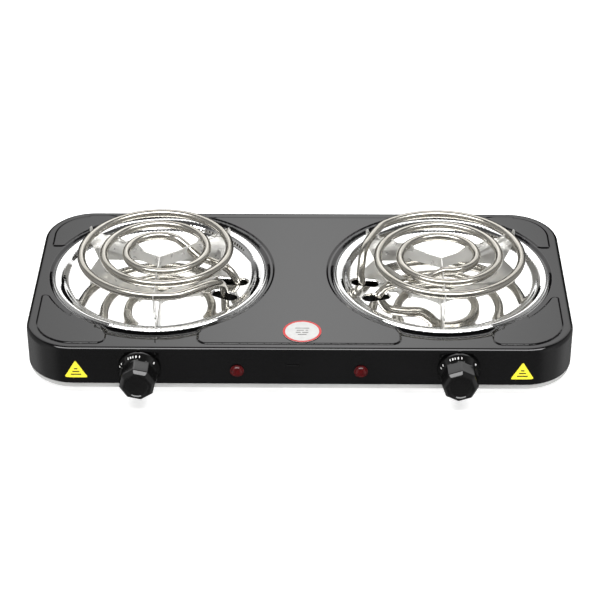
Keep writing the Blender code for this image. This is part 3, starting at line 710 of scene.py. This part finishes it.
def top_housing():
    surface = Surface()
    radius = CORNER_R - EDGE_R
    outline, normals = rounded_outline(HOUSING_W / 2 - EDGE_R, HOUSING_D / 2 - EDGE_R, radius,
                                       6 * MM, ROUND_STEPS)
    seats = [circle((side * PAN_X, PAN_Y), SEAT_R, 180) for side in (-1, 1)]
    plan = np.concatenate([outline] + seats + [plan_points()])
    edges = loop_edges(0, len(outline))
    for n in range(2):
        edges += loop_edges(len(outline) + 180 * n, 180)
    z = plate_height(plan[:, 0], plan[:, 1])
    gx, gy = gradient(plate_height, plan[:, 0], plan[:, 1])
    points = np.stack([plan[:, 0], plan[:, 1] + HOUSING_Y, PLATE_Z + z], axis=1)
    surface.add(points, np.stack([-gx, -gy, np.ones(len(gx))], axis=1))
    surface.faces += triangulated(plan, edges, lambda x, y: pan_distance(x, y) > SEAT_R)

    first = list(range(len(outline)))
    roll = [(EDGE_R * math.sin(a), PLATE_Z - EDGE_R * (1 - math.cos(a)), a)
            for a in (math.radians(90 * k / 8) for k in range(1, 9))]
    upper = edge_rows(surface, outline, normals, first, roll)
    before = len(surface.faces)
    lower = edge_rows(surface, outline, normals, upper, [(EDGE_R, SKIRT_Z, math.pi / 2)])
    count = len(outline)
    straight = HOUSING_W / 2 - CORNER_R + 0.01 * MM
    walls = {-1: [], 1: []}
    for k in range(count):
        m = (k + 1) % count
        if abs(outline[k][0]) < straight and abs(outline[m][0]) < straight:
            walls[1 if outline[k][1] > 0 else -1].append(k)
    taken = {before + k for ks in walls.values() for k in ks}
    surface.faces = [f for n, f in enumerate(surface.faces) if n not in taken]
    front_holes = []
    for side in (-1, 1):
        front_holes.append((side * KNOB[1].x, KNOB[1].z, SHAFT_R + 0.6 * MM))
        front_holes.append((side * LAMP[1].x, LAMP[1].z, LENS_R - 0.6 * MM))
        for dx in (-10 * MM, 10 * MM):
            front_holes.append((side * KNOB[1].x + dx, KNOB[1].z, 1.9 * MM))
    gland = middle("cord_gland")
    rear_holes = [(0.0, gland.z, 5.2 * MM)]
    for end, y, facing, holes in ((-1, FRONT_Y, 1, front_holes), (1, REAR_Y, -1, rear_holes)):
        ks = walls[end]
        span = ks + [(ks[-1] + 1) % count]
        punched_wall(surface, upper, lower, span, holes, y, facing)
    obj = surface.solid("housing_shell", SHEET)
    return placed(obj, "top_housing", "enamel")


# ---- The tray
def base_plate():
    """The silver tray: a flat floor, a rounded lower edge and an upright wall."""
    low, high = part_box("base_plate")
    half_w = (high.x - low.x) / 2
    half_d = (high.y - low.y) / 2
    bend = 1.6 * MM
    radius = CORNER_R - (HOUSING_W / 2 - half_w) - bend
    outline, normals = rounded_outline(half_w - bend, half_d - bend, radius, 12 * MM, 16)
    surface = Surface()
    holes = []
    for name, side in SIDES:
        for where in ("front", "rear"):
            foot = middle("foot_%s_%s" % (where, name))
            holes.append((foot.x, foot.y - HOUSING_Y, 2.9 * MM))
            screw = middle("base_screw_%s_%s" % (where, name))
            holes.append((screw.x, screw.y - HOUSING_Y, 1.9 * MM))
    earth = middle("earth_screw")
    holes.append((earth.x, earth.y - HOUSING_Y, 1.9 * MM))
    plan = outline.tolist()
    edges = loop_edges(0, len(plan))
    for x, y, r in holes:
        edges += loop_edges(len(plan), 24)
        plan += circle((x, y), r, 24).tolist()

    surface.add([(x, y + HOUSING_Y, low.z) for x, y in plan], [(0, 0, -1)] * len(plan))
    surface.faces += [tri[::-1] for tri in triangulated(plan, edges, clear_of(holes))]
    first = list(range(len(outline)))
    roll = [(bend * math.sin(a), low.z + bend * (1 - math.cos(a)), math.pi - a)
            for a in (math.radians(90 * k / 5) for k in range(1, 6))]
    count = len(surface.faces)
    row = edge_rows(surface, outline, normals, first, roll)
    edge_rows(surface, outline, normals, row, [(bend, high.z, math.pi / 2)])
    surface.faces[count:] = [face[::-1] for face in surface.faces[count:]]
    return placed(surface.solid("base_tray", 0.9 * MM), "base_plate", "tray_steel")


# ---- Drip pans
SLOTS = {-1: ((62.3 * MM, -3.6, 31 * MM), (63.8 * MM, -24.6, 24.5 * MM)),
         1: ((64.3 * MM, -4.5, 24 * MM), (67.2 * MM, -26.3, 24 * MM))}   # radius, degrees, length
SLOT_W = 10.5 * MM
SLOT_SKEW = 8.0
LIP = 1.5 * MM                       # plan width of a slot's turned-down lip
LIP_DROP = 1.1 * MM
PAN_PROFILE = ((0, -8.7), (40, -8.5), (56, -8.1), (62, -7.8), (70, -7.3), (78, -6.7),
               (80.2, -6.45), (81.2, -6.1), (83.0, -4.6), (84.6, -2.9), (86.2, -1.6),
               (87.6, -1.05), (89.0, -0.65), (90.4, -0.15), (91.4, 0.0), (92.3, -0.2),
               (92.9, -0.7), (93.4, -1.3), (94.0, -1.7))        # mm: radius, above the rim's top


def pan_table():
    """The pan's profile as a fine smooth table of radius and height."""
    radii = np.arange(0.0, 95.0, 0.1)
    heights = np.interp(radii, *zip(*PAN_PROFILE))
    window = np.hanning(11)
    padded = np.concatenate([np.full(5, heights[0]), heights, np.full(5, heights[-1])])
    return radii * MM, np.convolve(padded, window / window.sum(), mode="valid") * MM


PAN_RADII, PAN_HEIGHTS = pan_table()


def slot_frame(slot, turn):
    """A slot's centre, the way it runs and half the length of its straight sides."""
    radius, degrees, length = slot
    at = polar(radius, degrees + turn)
    return at, polar(1.0, degrees + turn - SLOT_SKEW), (length - SLOT_W) / 2


def slot_field(slot, turn):
    """Signed distance from one slot's stadium, about the pan's centre."""
    at, lean, half = slot_frame(slot, turn)

    def field(x, y):
        along = (x - at.x) * lean.x + (y - at.y) * lean.y
        across = (y - at.y) * lean.x - (x - at.x) * lean.y
        return np.hypot(np.maximum(np.abs(along) - half, 0.0), across) - SLOT_W / 2
    return field


def slot_loop(slot, turn, steps=14):
    """Points round one slot's edge, about the pan's centre."""
    at, lean, half = slot_frame(slot, turn)
    loop = []
    for end in (1, -1):
        for k in range(steps + 1):
            a = math.pi * (k / steps - end / 2)
            loop.append((end * half + SLOT_W / 2 * math.cos(a), SLOT_W / 2 * math.sin(a)))
        loop += [(end * half * (1 - k / 4), end * SLOT_W / 2) for k in range(1, 8)]
    return [(at.x + u * lean.x - v * lean.y, at.y + u * lean.y + v * lean.x) for u, v in loop]


def drip_pan(name, side):
    turn = PAN_TURN[side]
    fields = [slot_field(slot, turn) for slot in SLOTS[side]]
    slit_w = (ARM_SHEET + 0.8 * MM) / 2
    slit_l = 3.6 * MM

    def slots(x, y):
        return np.minimum(fields[0](x, y), fields[1](x, y))

    def slits(x, y):
        found = []
        for out in (polar(1.0, angle) for angle in ARM_ANGLES):
            along = np.abs(x * out.x + y * out.y - FOOT_R) - slit_l
            found.append(np.maximum(along, np.abs(y * out.x - x * out.y) - slit_w))
        return np.minimum.reduce(found)

    def height(x, y):
        lip = np.clip(1 - slots(x, y) / LIP, 0.0, 1.0) ** 2
        return np.interp(np.hypot(x, y), PAN_RADII, PAN_HEIGHTS) - LIP_DROP * lip

    loops = [circle((0, 0), PAN_R, 160)]
    loops += [np.array(slot_loop(slot, turn)) for slot in SLOTS[side]]
    for angle in ARM_ANGLES:
        corners = []
        for u, v in ((-1, -1), (0, -1), (1, -1), (1, 1), (0, 1), (-1, 1)):
            corners.append(polar(FOOT_R + u * slit_l, angle) + polar(v * slit_w, angle + 90))
        loops.append(np.array([(c.x, c.y) for c in corners]))
    rings = []
    for radius, _ in PAN_PROFILE[1:-1]:
        rings.append((radius, 150 if radius > 50 else 90))
    rings += [(8, 24), (16, 40), (24, 60), (32, 72), (50, 120)]
    rings += [(radius, 150) for radius in (66, 74, 82.4, 84.1, 85.8, 87.5, 89.3, 90.7, 91.7, 92.55,
                                           93.15, 93.7)]
    free = [circle((0, 0), radius * MM, count, turn=k * 1.3)
            for k, (radius, count) in enumerate(rings)]
    for field in fields:
        free.append(contours(field, [LIP * k / 4 for k in range(1, 5)], (-PAN_R, -PAN_R),
                             (PAN_R, PAN_R), 1.2 * MM))
    free = np.concatenate(free)
    clear = np.minimum(slots(*free.T), slits(*free.T)) > 0.25 * MM
    free = thinned(free[clear], 0.4 * MM)
    plan = np.concatenate(loops + [free, [(0.0, 0.0)]])
    edges = []
    first = 0
    for loop in loops:
        edges += loop_edges(first, len(loop))
        first += len(loop)

    def keep(x, y):
        return (slots(x, y) > 0) & (slits(x, y) > 0)

    surface = Surface()
    x, y = plan[:, 0], plan[:, 1]
    gx, gy = gradient(height, x, y)
    centre = PAN[side]
    surface.add(np.stack([x + centre.x, y + centre.y, RIM_Z + height(x, y)], axis=1),
                np.stack([-gx, -gy, np.ones(len(gx))], axis=1))
    surface.faces = triangulated(plan, edges, keep)
    obj = surface.solid("chrome_pan_" + name, 0.6 * MM)
    return placed(obj, "drip_pan_" + name, "pan_chrome")


# ---- Coils and their supports
INNER_LEAD = ((69.0, -6.2, -26.0), (69.0, -6.2, -17.0), (68.6, -6.0, -9.2), (65.5, -4.6, -1.7),
              (59.0, -1.5, 3.8), (47.0, 4.1, 6.0), (34.0, 10.1, 7.3), (26.5, 13.6, 10.8),
              (19.5, 16.8, 15.3))
OUTER_LEAD = ((27.0, -68.0, 18.7), (38.5, -60.0, 18.7), (47.0, -53.0, 18.0), (53.0, -45.5, 14.3),
              (56.3, -37.0, 7.3), (57.8, -30.0, -1.7), (58.0, -27.2, -9.2), (58.0, -27.0, -17.0),
              (58.0, -27.0, -26.0))


def coil_line(side):
    """The coil's centreline: up from one terminal, round the spiral and down to the other."""
    spiral = []
    count = 210
    for k in range(count + 1):
        angle = COIL_START + (COIL_END - COIL_START) * k / count
        at = polar(COIL_R0 + COIL_PITCH * angle / 360, angle)
        spiral.append(Vector((at.x, at.y, LEAD_Z)))
    start = smooth_line([Vector(p) * MM for p in INNER_LEAD] + [spiral[0], spiral[5]], 7)[:-7]
    end = smooth_line([spiral[-6], spiral[-1]] + [Vector(p) * MM for p in OUTER_LEAD], 7)[7:]
    turn = Matrix.Rotation(math.radians(PAN_TURN[side]), 3, 'Z')
    lift = COIL_Z[side] - PLATE_Z - LEAD_Z
    centre = Vector((PAN[side].x, PAN[side].y, 0.0))
    line = []
    whole = start + spiral[1:-1] + end
    for k, point in enumerate(whole):
        share = min(max(point.z / LEAD_Z, 0.0), 1.0)
        shift = COIL_SHIFT[side] * share + END_SHIFT[side][k > len(whole) / 2] * (1 - share)
        height = Vector((0.0, 0.0, PLATE_Z + lift * share))
        line.append(turn @ point + shift + height + centre)
    return line


def heating_coil(name, side):
    obj = swept("spiral_element_" + name, coil_line(side), SHEATH_R)
    return placed(obj, "heating_coil_" + name, "coil_sheath")


def crossings(side, angle):
    """Where the coil's centreline crosses an arm: (distance out, height above the plate)."""
    centre = PAN[side]
    out = polar(1.0, angle)
    across = polar(1.0, angle + 90)
    line = coil_line(side)
    found = []
    for a, b in zip(line, line[1:]):
        va = Vector((a.x - centre.x, a.y - centre.y, 0.0))
        vb = Vector((b.x - centre.x, b.y - centre.y, 0.0))
        da, db = va.dot(across), vb.dot(across)
        if da * db < 0 and va.dot(out) > 0:
            t = da / (da - db)
            slant = abs((vb - va).normalized().dot(across))
            found.append(((va + (vb - va) * t).dot(out), (a.z + (b.z - a.z) * t), slant))
    return sorted(found)


ARM_LOW = 4.8                        # mm above the plate: an arm's lower edge,
ARM_FOOT = -10.7                     # the tip of its foot
HUB_TOP = 15.0                       # and the top of the hub


def arm_outline(side, angle):
    """An upright arm in (outward, height): feet below, a seat under each turn, prongs between."""
    cuts = [(out / MM, (z - PLATE_Z) / MM, slant) for out, z, slant in crossings(side, angle)]
    tube = TUBE_R / MM
    high = (COIL_Z[side] - PLATE_Z) / MM
    seats = [cut for cut in cuts if cut[1] > high - 3]
    reach = seats[-1][0] + tube + 3.2
    foot = FOOT_R / MM
    edge = [(0.35, ARM_LOW), (20, ARM_LOW), (24, ARM_LOW - 0.6), (foot - 5.5, ARM_LOW + 0.2),
            (foot - 3.4, ARM_LOW - 1.5), (foot - 2.4, ARM_FOOT + 2), (foot - 1.9, ARM_FOOT),
            (foot + 1.9, ARM_FOOT), (foot + 2.4, ARM_FOOT + 2), (foot + 3.4, ARM_LOW - 1.2),
            (foot + 5, ARM_LOW + 0.8), (reach - 1, ARM_LOW + 1.4), (reach, ARM_LOW + 3),
            (reach + 0.1, high + 2.6), (reach - 0.8, high + 4), (reach - 1.9, high + 4.2)]
    room = SHEATH_R / MM + 0.2
    for out, z, slant in reversed(seats):
        wide = room / max(slant, 0.5)
        edge.append((out + wide, z + 1.4))
        for k in range(9):
            a = math.pi * k / 8
            edge.append((out + wide * math.cos(a), z - room * math.sin(a)))
        edge += [(out - wide, high + 1.2), (out - wide - 1.6, high + 1.7), (out - wide - 4.2, z - 1.5)]
    edge[-1] = (seats[0][0] - tube - 4, high - 1)
    edge += [(16.5, HUB_TOP + 0.6), (15.6, HUB_TOP), (0.35, HUB_TOP)]
    return [(out * MM, PLATE_Z + z * MM) for out, z in edge]


def upright(bm, outline, centre, angle, thickness):
    """Adds a flat upright sheet, from its outline in (outward, height)."""
    out = polar(1.0, angle)
    across = polar(1.0, angle + 90) * (thickness / 2)
    base = Vector((centre.x, centre.y, 0.0))
    rows = []
    for sign in (-1, 1):
        rows.append([bm.verts.new(base + out * r + across * sign + Vector((0, 0, z)))
                     for r, z in outline])
    faces = [bm.faces.new(rows[0][::-1]), bm.faces.new(rows[1])]
    count = len(outline)
    for k in range(count):
        m = (k + 1) % count
        bm.faces.new((rows[0][k], rows[0][m], rows[1][m], rows[1][k]))
    bmesh.ops.triangulate(bm, faces=faces)


def coil_support(name, side):
    """A folded sheet tripod: three arms from a tight centre, each standing in the pan."""
    bm = bmesh.new()
    centre = PAN[side]
    for angle in ARM_ANGLES:
        upright(bm, arm_outline(side, angle), centre, angle, ARM_SHEET)
    ring = [centre + polar(1.25 * MM, 360 * k / 18) for k in range(18)]
    bottom, top = ([bm.verts.new((p.x, p.y, PLATE_Z + height * MM)) for p in ring]
                   for height in (ARM_LOW, HUB_TOP + 0.3))
    bm.faces.new(bottom[::-1])
    bm.faces.new(top)
    for k in range(18):
        m = (k + 1) % 18
        bm.faces.new((bottom[k], bottom[m], top[m], top[k]))
    bmesh.ops.recalc_face_normals(bm, faces=bm.faces)
    obj = from_bmesh("coil_tripod_" + name, bm, sharp=30)
    return placed(obj, "coil_support_" + name, "support_steel")


# ---- Knobs
GRIP_TURN = {-1: -9.5, 1: 3.6}


def octagon(radius, rounding, count):
    """Distances from the centre round a rounded octagon whose flats are at radius."""
    out = []
    inner = radius - rounding
    for k in range(count):
        a = 2 * math.pi * k / count
        folded = (a + math.pi / 8) % (math.pi / 4) - math.pi / 8
        flat = radius / math.cos(folded)
        corner = inner / math.cos(math.pi / 8)
        away = math.pi / 8 - abs(folded)
        along = corner * math.cos(away)
        rounded_r = along + math.sqrt(max(rounding ** 2 - (corner * math.sin(away)) ** 2, 0.0))
        limit = inner * math.tan(math.pi / 8)
        out.append(rounded_r if flat * math.sin(abs(folded)) > limit else flat)
    return out


def knob(name, side):
    count = 192
    axis = Vector((KNOB[side].x, FRONT_Y, KNOB[side].z))
    turn = math.radians(22.5 - GRIP_TURN[side])
    rows = []

    def row(radii, ahead, swing=0.0):
        points = []
        for k, r in enumerate(radii):
            a = 2 * math.pi * k / count + swing
            points.append(axis + Vector((r * math.cos(a), -ahead, r * math.sin(a))))
        rows.append(points)

    def rings(profile):
        for r, ahead in profile:
            row([r * MM] * count, ahead * MM, turn)

    flat = math.cos(math.pi / 8)
    rings([(3.3, 16.9), (3.3, 1.5), (6.5, 1.5), (6.5, 3.2), (13.4, 3.2), (13.4, 1.5), (17.6, 1.5),
           (17.95, 1.8), (18.0, 2.4), (17.95, 3.2), (17.7, 4.1), (17.3, 4.9), (16.2, 8.6), (15.9, 9.6),
           (15.7, 10.0)])
    grip = ((16.2, 10.3, 1.1), (16.15, 10.6, 1.1), (16.0, 13.0, 1.0), (15.75, 18.0, 1.0),
            (15.5, 22.6, 1.0), (15.4, 23.2, 1.0), (15.1, 23.8, 1.0), (13.0, 26.2, 0.9),
            (12.6, 26.6, 0.9), (12.1, 26.85, 0.9))
    for r, ahead, rounding in grip:
        row(octagon(r * flat * MM, rounding * MM, count), ahead * MM, turn)
    rings([(10.6, 26.95), (10.2, 26.85), (9.9, 26.5), (9.5, 25.9), (8.9, 25.6), (4.0, 25.45)])
    obj = lofted("control_knob_" + name, rows, sharp=24)
    placed(obj, "knob_" + name, "knob_plastic", "knob_%s_turning" % name)
    return obj


TICKS = (119, 111, 104, 95, 85, 146, 157, 38)            # degrees round the knob
WIDE_TICKS = (111, 95, 38)
TICK_ENDS = ((17.05, 6.0), (16.45, 8.1))                 # mm: radius, ahead of the skirt


def knob_marks(name, side):
    """Plain white ticks on the knob's cone."""
    axis = Vector((KNOB[side].x, FRONT_Y, KNOB[side].z))
    bm = bmesh.new()
    for degrees in TICKS:
        wide = 1.1 if degrees in WIDE_TICKS else 0.7
        corners = []
        for (r, h), signs in zip(TICK_ENDS, ((-1, 1), (1, -1))):
            corners += [(r, h, math.radians(degrees) + sign * wide / 2 / r) for sign in signs]
        rows = []
        for lift in (0.1, -0.1):
            rows.append([bm.verts.new(axis + Vector(((r + lift) * math.cos(a), -h,
                                                     (r + lift) * math.sin(a))) * MM)
                         for r, h, a in corners])
        bm.faces.new(rows[0])
        bm.faces.new(rows[1][::-1])
        for k in range(4):
            m = (k + 1) % 4
            bm.faces.new((rows[0][k], rows[1][k], rows[1][m], rows[0][m]))
    bmesh.ops.recalc_face_normals(bm, faces=bm.faces)
    obj = from_bmesh("knob_ticks_" + name, bm)
    obj.data.materials.append(INK_WHITE.mat)
    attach(obj, "knob_%s_turning" % name)


# ---- Lamps, labels and marks
def lamp_lens(name, side):
    """A faceted dome inside a small rounded rim."""
    low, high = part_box("lamp_lens_" + name)
    proud = FRONT_Y - low.y
    profile = [(0.0, -3.9), (4.85, -3.9), (4.85, 0.3), (5.6, 0.3), (5.85, 0.55), (5.85, 1.0),
               (5.6, 1.25), (5.2, 1.3), (5.0, 1.35)]
    for k in range(1, 9):
        a = math.radians(90 * k / 9)
        profile.append((4.9 * math.cos(a), 1.35 + (proud / MM - 1.35) * math.sin(a)))
    profile.append((0.05, proud / MM))
    centre = Vector((LAMP[side].x, FRONT_Y, LAMP[side].z))
    obj = lathe("lamp_lens_" + name + "_dome", [(max(r, 0.02) * MM, h * MM) for r, h in profile],
                centre, axis='Y', sides=48)
    return placed(obj, "lamp_lens_" + name, "lens_red")


def skirt_y(x):
    """The skirt's front face at a given x, round its corners too."""
    past = max(abs(x) - (HOUSING_W / 2 - CORNER_R), 0.0)
    return FRONT_Y + CORNER_R - math.sqrt(CORNER_R ** 2 - past ** 2)


def on_skirt(bm, outline, x, z, proud, thick, material, steps=1):
    """A thin printed shape on the skirt, following its curve; the outline is convex."""
    count = len(outline)
    cx = sum(p[0] for p in outline) / count
    cz = sum(p[1] for p in outline) / count
    rings = []
    for share in [k / steps for k in range(steps, 0, -1)]:
        rings.append([bm.verts.new((x + cx + (px - cx) * share,
                                    skirt_y(x + cx + (px - cx) * share) - proud,
                                    z + cz + (pz - cz) * share)) for px, pz in outline])
    tip = bm.verts.new((x + cx, skirt_y(x + cx) - proud, z + cz))
    back = [bm.verts.new(v.co + Vector((0, thick, 0))) for v in rings[0]]
    made = [bm.faces.new(back)]
    for ring, inner in zip(rings, rings[1:]):
        for k in range(count):
            m = (k + 1) % count
            made.append(bm.faces.new((ring[k], ring[m], inner[m], inner[k])))
    for k in range(count):
        m = (k + 1) % count
        made.append(bm.faces.new((rings[-1][k], rings[-1][m], tip)))
        made.append(bm.faces.new((rings[0][k], back[k], back[m], rings[0][m])))
    for face in made:
        face.material_index = material


def triangle(size, rounding):
    """An upright triangle with rounded corners, many points to a side."""
    corners = []
    for degrees in (90, 210, 330):
        a = math.radians(degrees)
        corners.append(Vector((math.cos(a), math.sin(a))) * (size / math.sqrt(3) - 2 * rounding))
    points = []
    for n, corner in enumerate(corners):
        start = 90 + 120 * n - 60
        for k in range(5):
            a = math.radians(start + 120 * k / 4)
            points.append(corner + Vector((math.cos(a), math.sin(a))) * rounding)
        nxt = corners[(n + 1) % 3]
        a = math.radians(start + 120)
        shift = Vector((math.cos(a), math.sin(a))) * rounding
        for k in range(1, 10):
            points.append(corner + (nxt - corner) * k / 10 + shift)
    return [(p.x, p.y) for p in points]


def ribbon(bm, line, width, place, material):
    """A thin raised stroke along a line; place(u, v, lift) gives its points in space."""
    sides = []
    for k, at in enumerate(line):
        ahead = line[min(k + 1, len(line) - 1)] - line[max(k - 1, 0)]
        across = Vector((-ahead.y, ahead.x)).normalized() * width / 2
        sides.append([at + across, at - across])
    rows = [[bm.verts.new(place(p.x, p.y, lift)) for lift in (1, 0) for p in pair]
            for pair in sides]
    quads = []
    for a, b in zip(rows, rows[1:]):
        for i, j in ((0, 1), (1, 3), (3, 2), (2, 0)):
            quads.append(bm.faces.new((a[i], a[j], b[j], b[i])))
    quads.append(bm.faces.new((rows[0][0], rows[0][2], rows[0][3], rows[0][1])))
    quads.append(bm.faces.new((rows[-1][0], rows[-1][1], rows[-1][3], rows[-1][2])))
    for face in quads:
        face.material_index = material


def surface_label(name, side):
    """A blank yellow triangle with three plain straight bars, and no symbol or writing."""
    low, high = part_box("surface_label_" + name)
    size = high.x - low.x
    x = LABEL[side].x
    z = low.z + size * math.sqrt(3) / 6
    bm = bmesh.new()
    on_skirt(bm, triangle(size, 0.9 * MM), x, z, 0.30 * MM, 0.26 * MM, 0, steps=5)

    def place(u, v, lift):
        return (x + u, skirt_y(x + u) - (0.29 + 0.05 * lift) * MM, z + v)

    for half, v in ((1.4, 3.0), (2.9, 0.2), (4.4, -2.6)):
        bar = [Vector((half * k / 6, v)) * MM for k in range(-6, 7)]
        ribbon(bm, bar, 1.1 * MM, place, 1)
    bmesh.ops.recalc_face_normals(bm, faces=bm.faces)
    obj = from_bmesh("yellow_label_" + name, bm)
    return placed(obj, "surface_label_" + name, "label_yellow", inks=(INK_BLACK,))


def plate_sticker():
    """A white disc with a red ring and a few plain grey bars."""
    low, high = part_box("plate_sticker")
    bm = bmesh.new()
    sides = 96
    rows = []
    for r in (STICKER_R - 1.9 * MM, STICKER_R - 0.45 * MM, STICKER_R):
        rows.append([bm.verts.new(Vector((STICKER.x, STICKER.y, high.z)) + polar(r, 360 * k / sides))
                     for k in range(sides)])
    bm.faces.new(rows[0])
    for n, (inner, outer) in enumerate(zip(rows, rows[1:])):
        for k in range(sides):
            m = (k + 1) % sides
            face = bm.faces.new((inner[k], outer[k], outer[m], inner[m]))
            face.material_index = 1 + n
    base = [bm.verts.new(Vector((v.co.x, v.co.y, low.z - 0.2 * MM))) for v in rows[-1]]
    bm.faces.new(base[::-1])
    for k in range(sides):
        m = (k + 1) % sides
        bm.faces.new((rows[-1][k], base[k], base[m], rows[-1][m]))

    def place(u, v, lift):
        return (STICKER.x + u, STICKER.y + v, high.z + (0.03 * lift - 0.01) * MM)

    for u0, v0, u1, v1 in ((-6, 4.6, 6, 4.6), (-4.6, 1.4, 1.6, 1.4), (2.8, 1.4, 5, 1.4),
                           (-5.4, -1.8, -1.2, -1.8), (0, -1.8, 5.2, -1.8), (-3.6, -5, 3.8, -5)):
        ribbon(bm, [Vector((u0, v0)) * MM, Vector((u1, v1)) * MM], 0.9 * MM, place, 3)
    obj = from_bmesh("plate_disc_label", bm)
    return placed(obj, "plate_sticker", "label_white", inks=(INK_RED, INK_RED, INK_GREY))


def front_mark():
    low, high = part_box("front_mark")
    bm = bmesh.new()
    half = (high.x - low.x) / 2
    centre = (low + high) / 2
    thick = (high.z - low.z) / 2
    outline = []
    for cx, start in ((half - thick, -90), (thick - half, 90)):
        for k in range(7):
            a = math.radians(start + 180 * k / 6)
            outline.append((cx + thick * math.cos(a), thick * math.sin(a)))
    on_skirt(bm, outline, centre.x, centre.z, FRONT_Y - low.y, high.y - low.y, 0)
    bmesh.ops.recalc_face_normals(bm, faces=bm.faces)
    return placed(from_bmesh("front_dash", bm), "front_mark", "mark_black")


# ---- CAD nodes that keep their shape
def dress_kept_nodes():
    slots = {row["node"]: row["material_slot"] for row in frame["record"]["subparts"]}
    for node, obj in frame["nodes"].items():
        obj.data.materials.clear()
        obj.data.materials.append(MATS[slots[node]].mat)


# ---- Camera, lights and floor
def camera():
    elevation = math.radians(32.785)
    azimuth = math.radians(0.726)
    roll = math.radians(-0.144)
    distance = 1.77751
    target = Vector((0.000094, -0.02583, 0.0475))
    turn = (Matrix.Rotation(azimuth, 4, 'Z') @ Matrix.Rotation(math.pi / 2 - elevation, 4, 'X')
            @ Matrix.Rotation(roll, 4, 'Z'))
    data = bpy.data.cameras.new("camera")
    data.lens = 123.38
    data.sensor_width = 36
    obj = link("camera", data)
    obj.matrix_world = Matrix.Translation(target) @ turn @ Matrix.Translation((0, 0, distance))
    bpy.context.scene.camera = obj


def panel_light(name, at, aim, width, depth, radiance):
    data = bpy.data.lights.new(name, 'AREA')
    data.shape = 'RECTANGLE'
    data.size = width
    data.size_y = depth
    data.energy = radiance * math.pi * width * depth
    obj = link(name, data)
    obj.location = at
    obj.rotation_euler = (Vector(aim) - Vector(at)).to_track_quat('-Z', 'Y').to_euler()


def world():
    """A room that is dark behind, dim in front and above, and paler to the left and right."""
    room = bpy.data.worlds.new("studio")
    bpy.context.scene.world = room
    room.use_nodes = True
    tree = Nodes(room.node_tree, "Generated")
    x, y, z = tree.axes()
    front = tree.mapped(y, -0.6, 0.0, 0.17, 0.005)
    beside = tree.mapped(tree.math('ABSOLUTE', x), 0.45, 0.9, 0.0, 0.42)
    above = tree.mapped(z, 0.5, 0.9, 0.0, 0.06)
    below = tree.mapped(z, -0.6, -0.1, 0.22, 0.0)
    behind = tree.mapped(y, -0.3, 0.3, 0.0, 1.0)
    total = tree.math('ADD', tree.math('ADD', front, beside), above)
    total = tree.math('ADD', total, tree.math('MULTIPLY', below, behind))
    background = tree.nodes["Background"]
    background.inputs["Color"].default_value = (1.0, 1.0, 1.0, 1.0)
    tree.links.new(total, background.inputs["Strength"])


def card_glow():
    """Brighter from above the card's lower part, and towards the middle of its width."""
    mat = bpy.data.materials.new("rear_card_glow")
    mat.use_nodes = True
    mat.node_tree.nodes.clear()
    tree = Nodes(mat.node_tree, "Object")
    x, _, z = tree.axes()
    rising = tree.mapped(z, 1.1, 1.8, 1.75, 2.55)
    across = tree.mapped(tree.math('ABSOLUTE', x), 0.0, 0.75, 1.0, 0.58)
    strength = tree.math('MULTIPLY', rising, across)
    out = tree.nodes.new("ShaderNodeOutputMaterial")
    tree.links.new(tree.add("Emission", "Emission", {"Strength": strength}), out.inputs["Surface"])
    return mat


def rear_card():
    """A pale upright card behind the object, for its gloss to mirror."""
    half_w, y, low, high = 2.6, 2.4, 1.02, 4.4
    mesh = bpy.data.meshes.new("rear_card")
    corners = [(-half_w, y, low), (half_w, y, low), (half_w, y, high), (-half_w, y, high)]
    mesh.from_pydata(corners, [], [(0, 1, 2, 3)])
    card = link("rear_card", mesh)
    card.data.materials.append(card_glow())
    card.visible_camera = False


def studio():
    world()
    mesh = bpy.data.meshes.new("floor")
    bm = bmesh.new()
    bmesh.ops.create_grid(bm, x_segments=1, y_segments=1, size=6.0)
    bm.to_mesh(mesh)
    bm.free()
    floor = link("floor", mesh)
    floor.data.materials.append(studio_floor().mat)
    floor.visible_glossy = False
    rear_card()
    panel_light("key", (0.0, -0.45, 1.25), (0, 0.0, 0.05), 1.9, 0.55, 8.0)
    bpy.context.scene.view_settings.view_transform = 'Standard'


# ---- Assembly
dress_kept_nodes()
top_housing()
base_plate()
plate_sticker()
front_mark()
for side_name, side_sign in SIDES:
    drip_pan(side_name, side_sign)
    heating_coil(side_name, side_sign)
    coil_support(side_name, side_sign)
    knob(side_name, side_sign)
    knob_marks(side_name, side_sign)
    lamp_lens(side_name, side_sign)
    surface_label(side_name, side_sign)
camera()
studio()
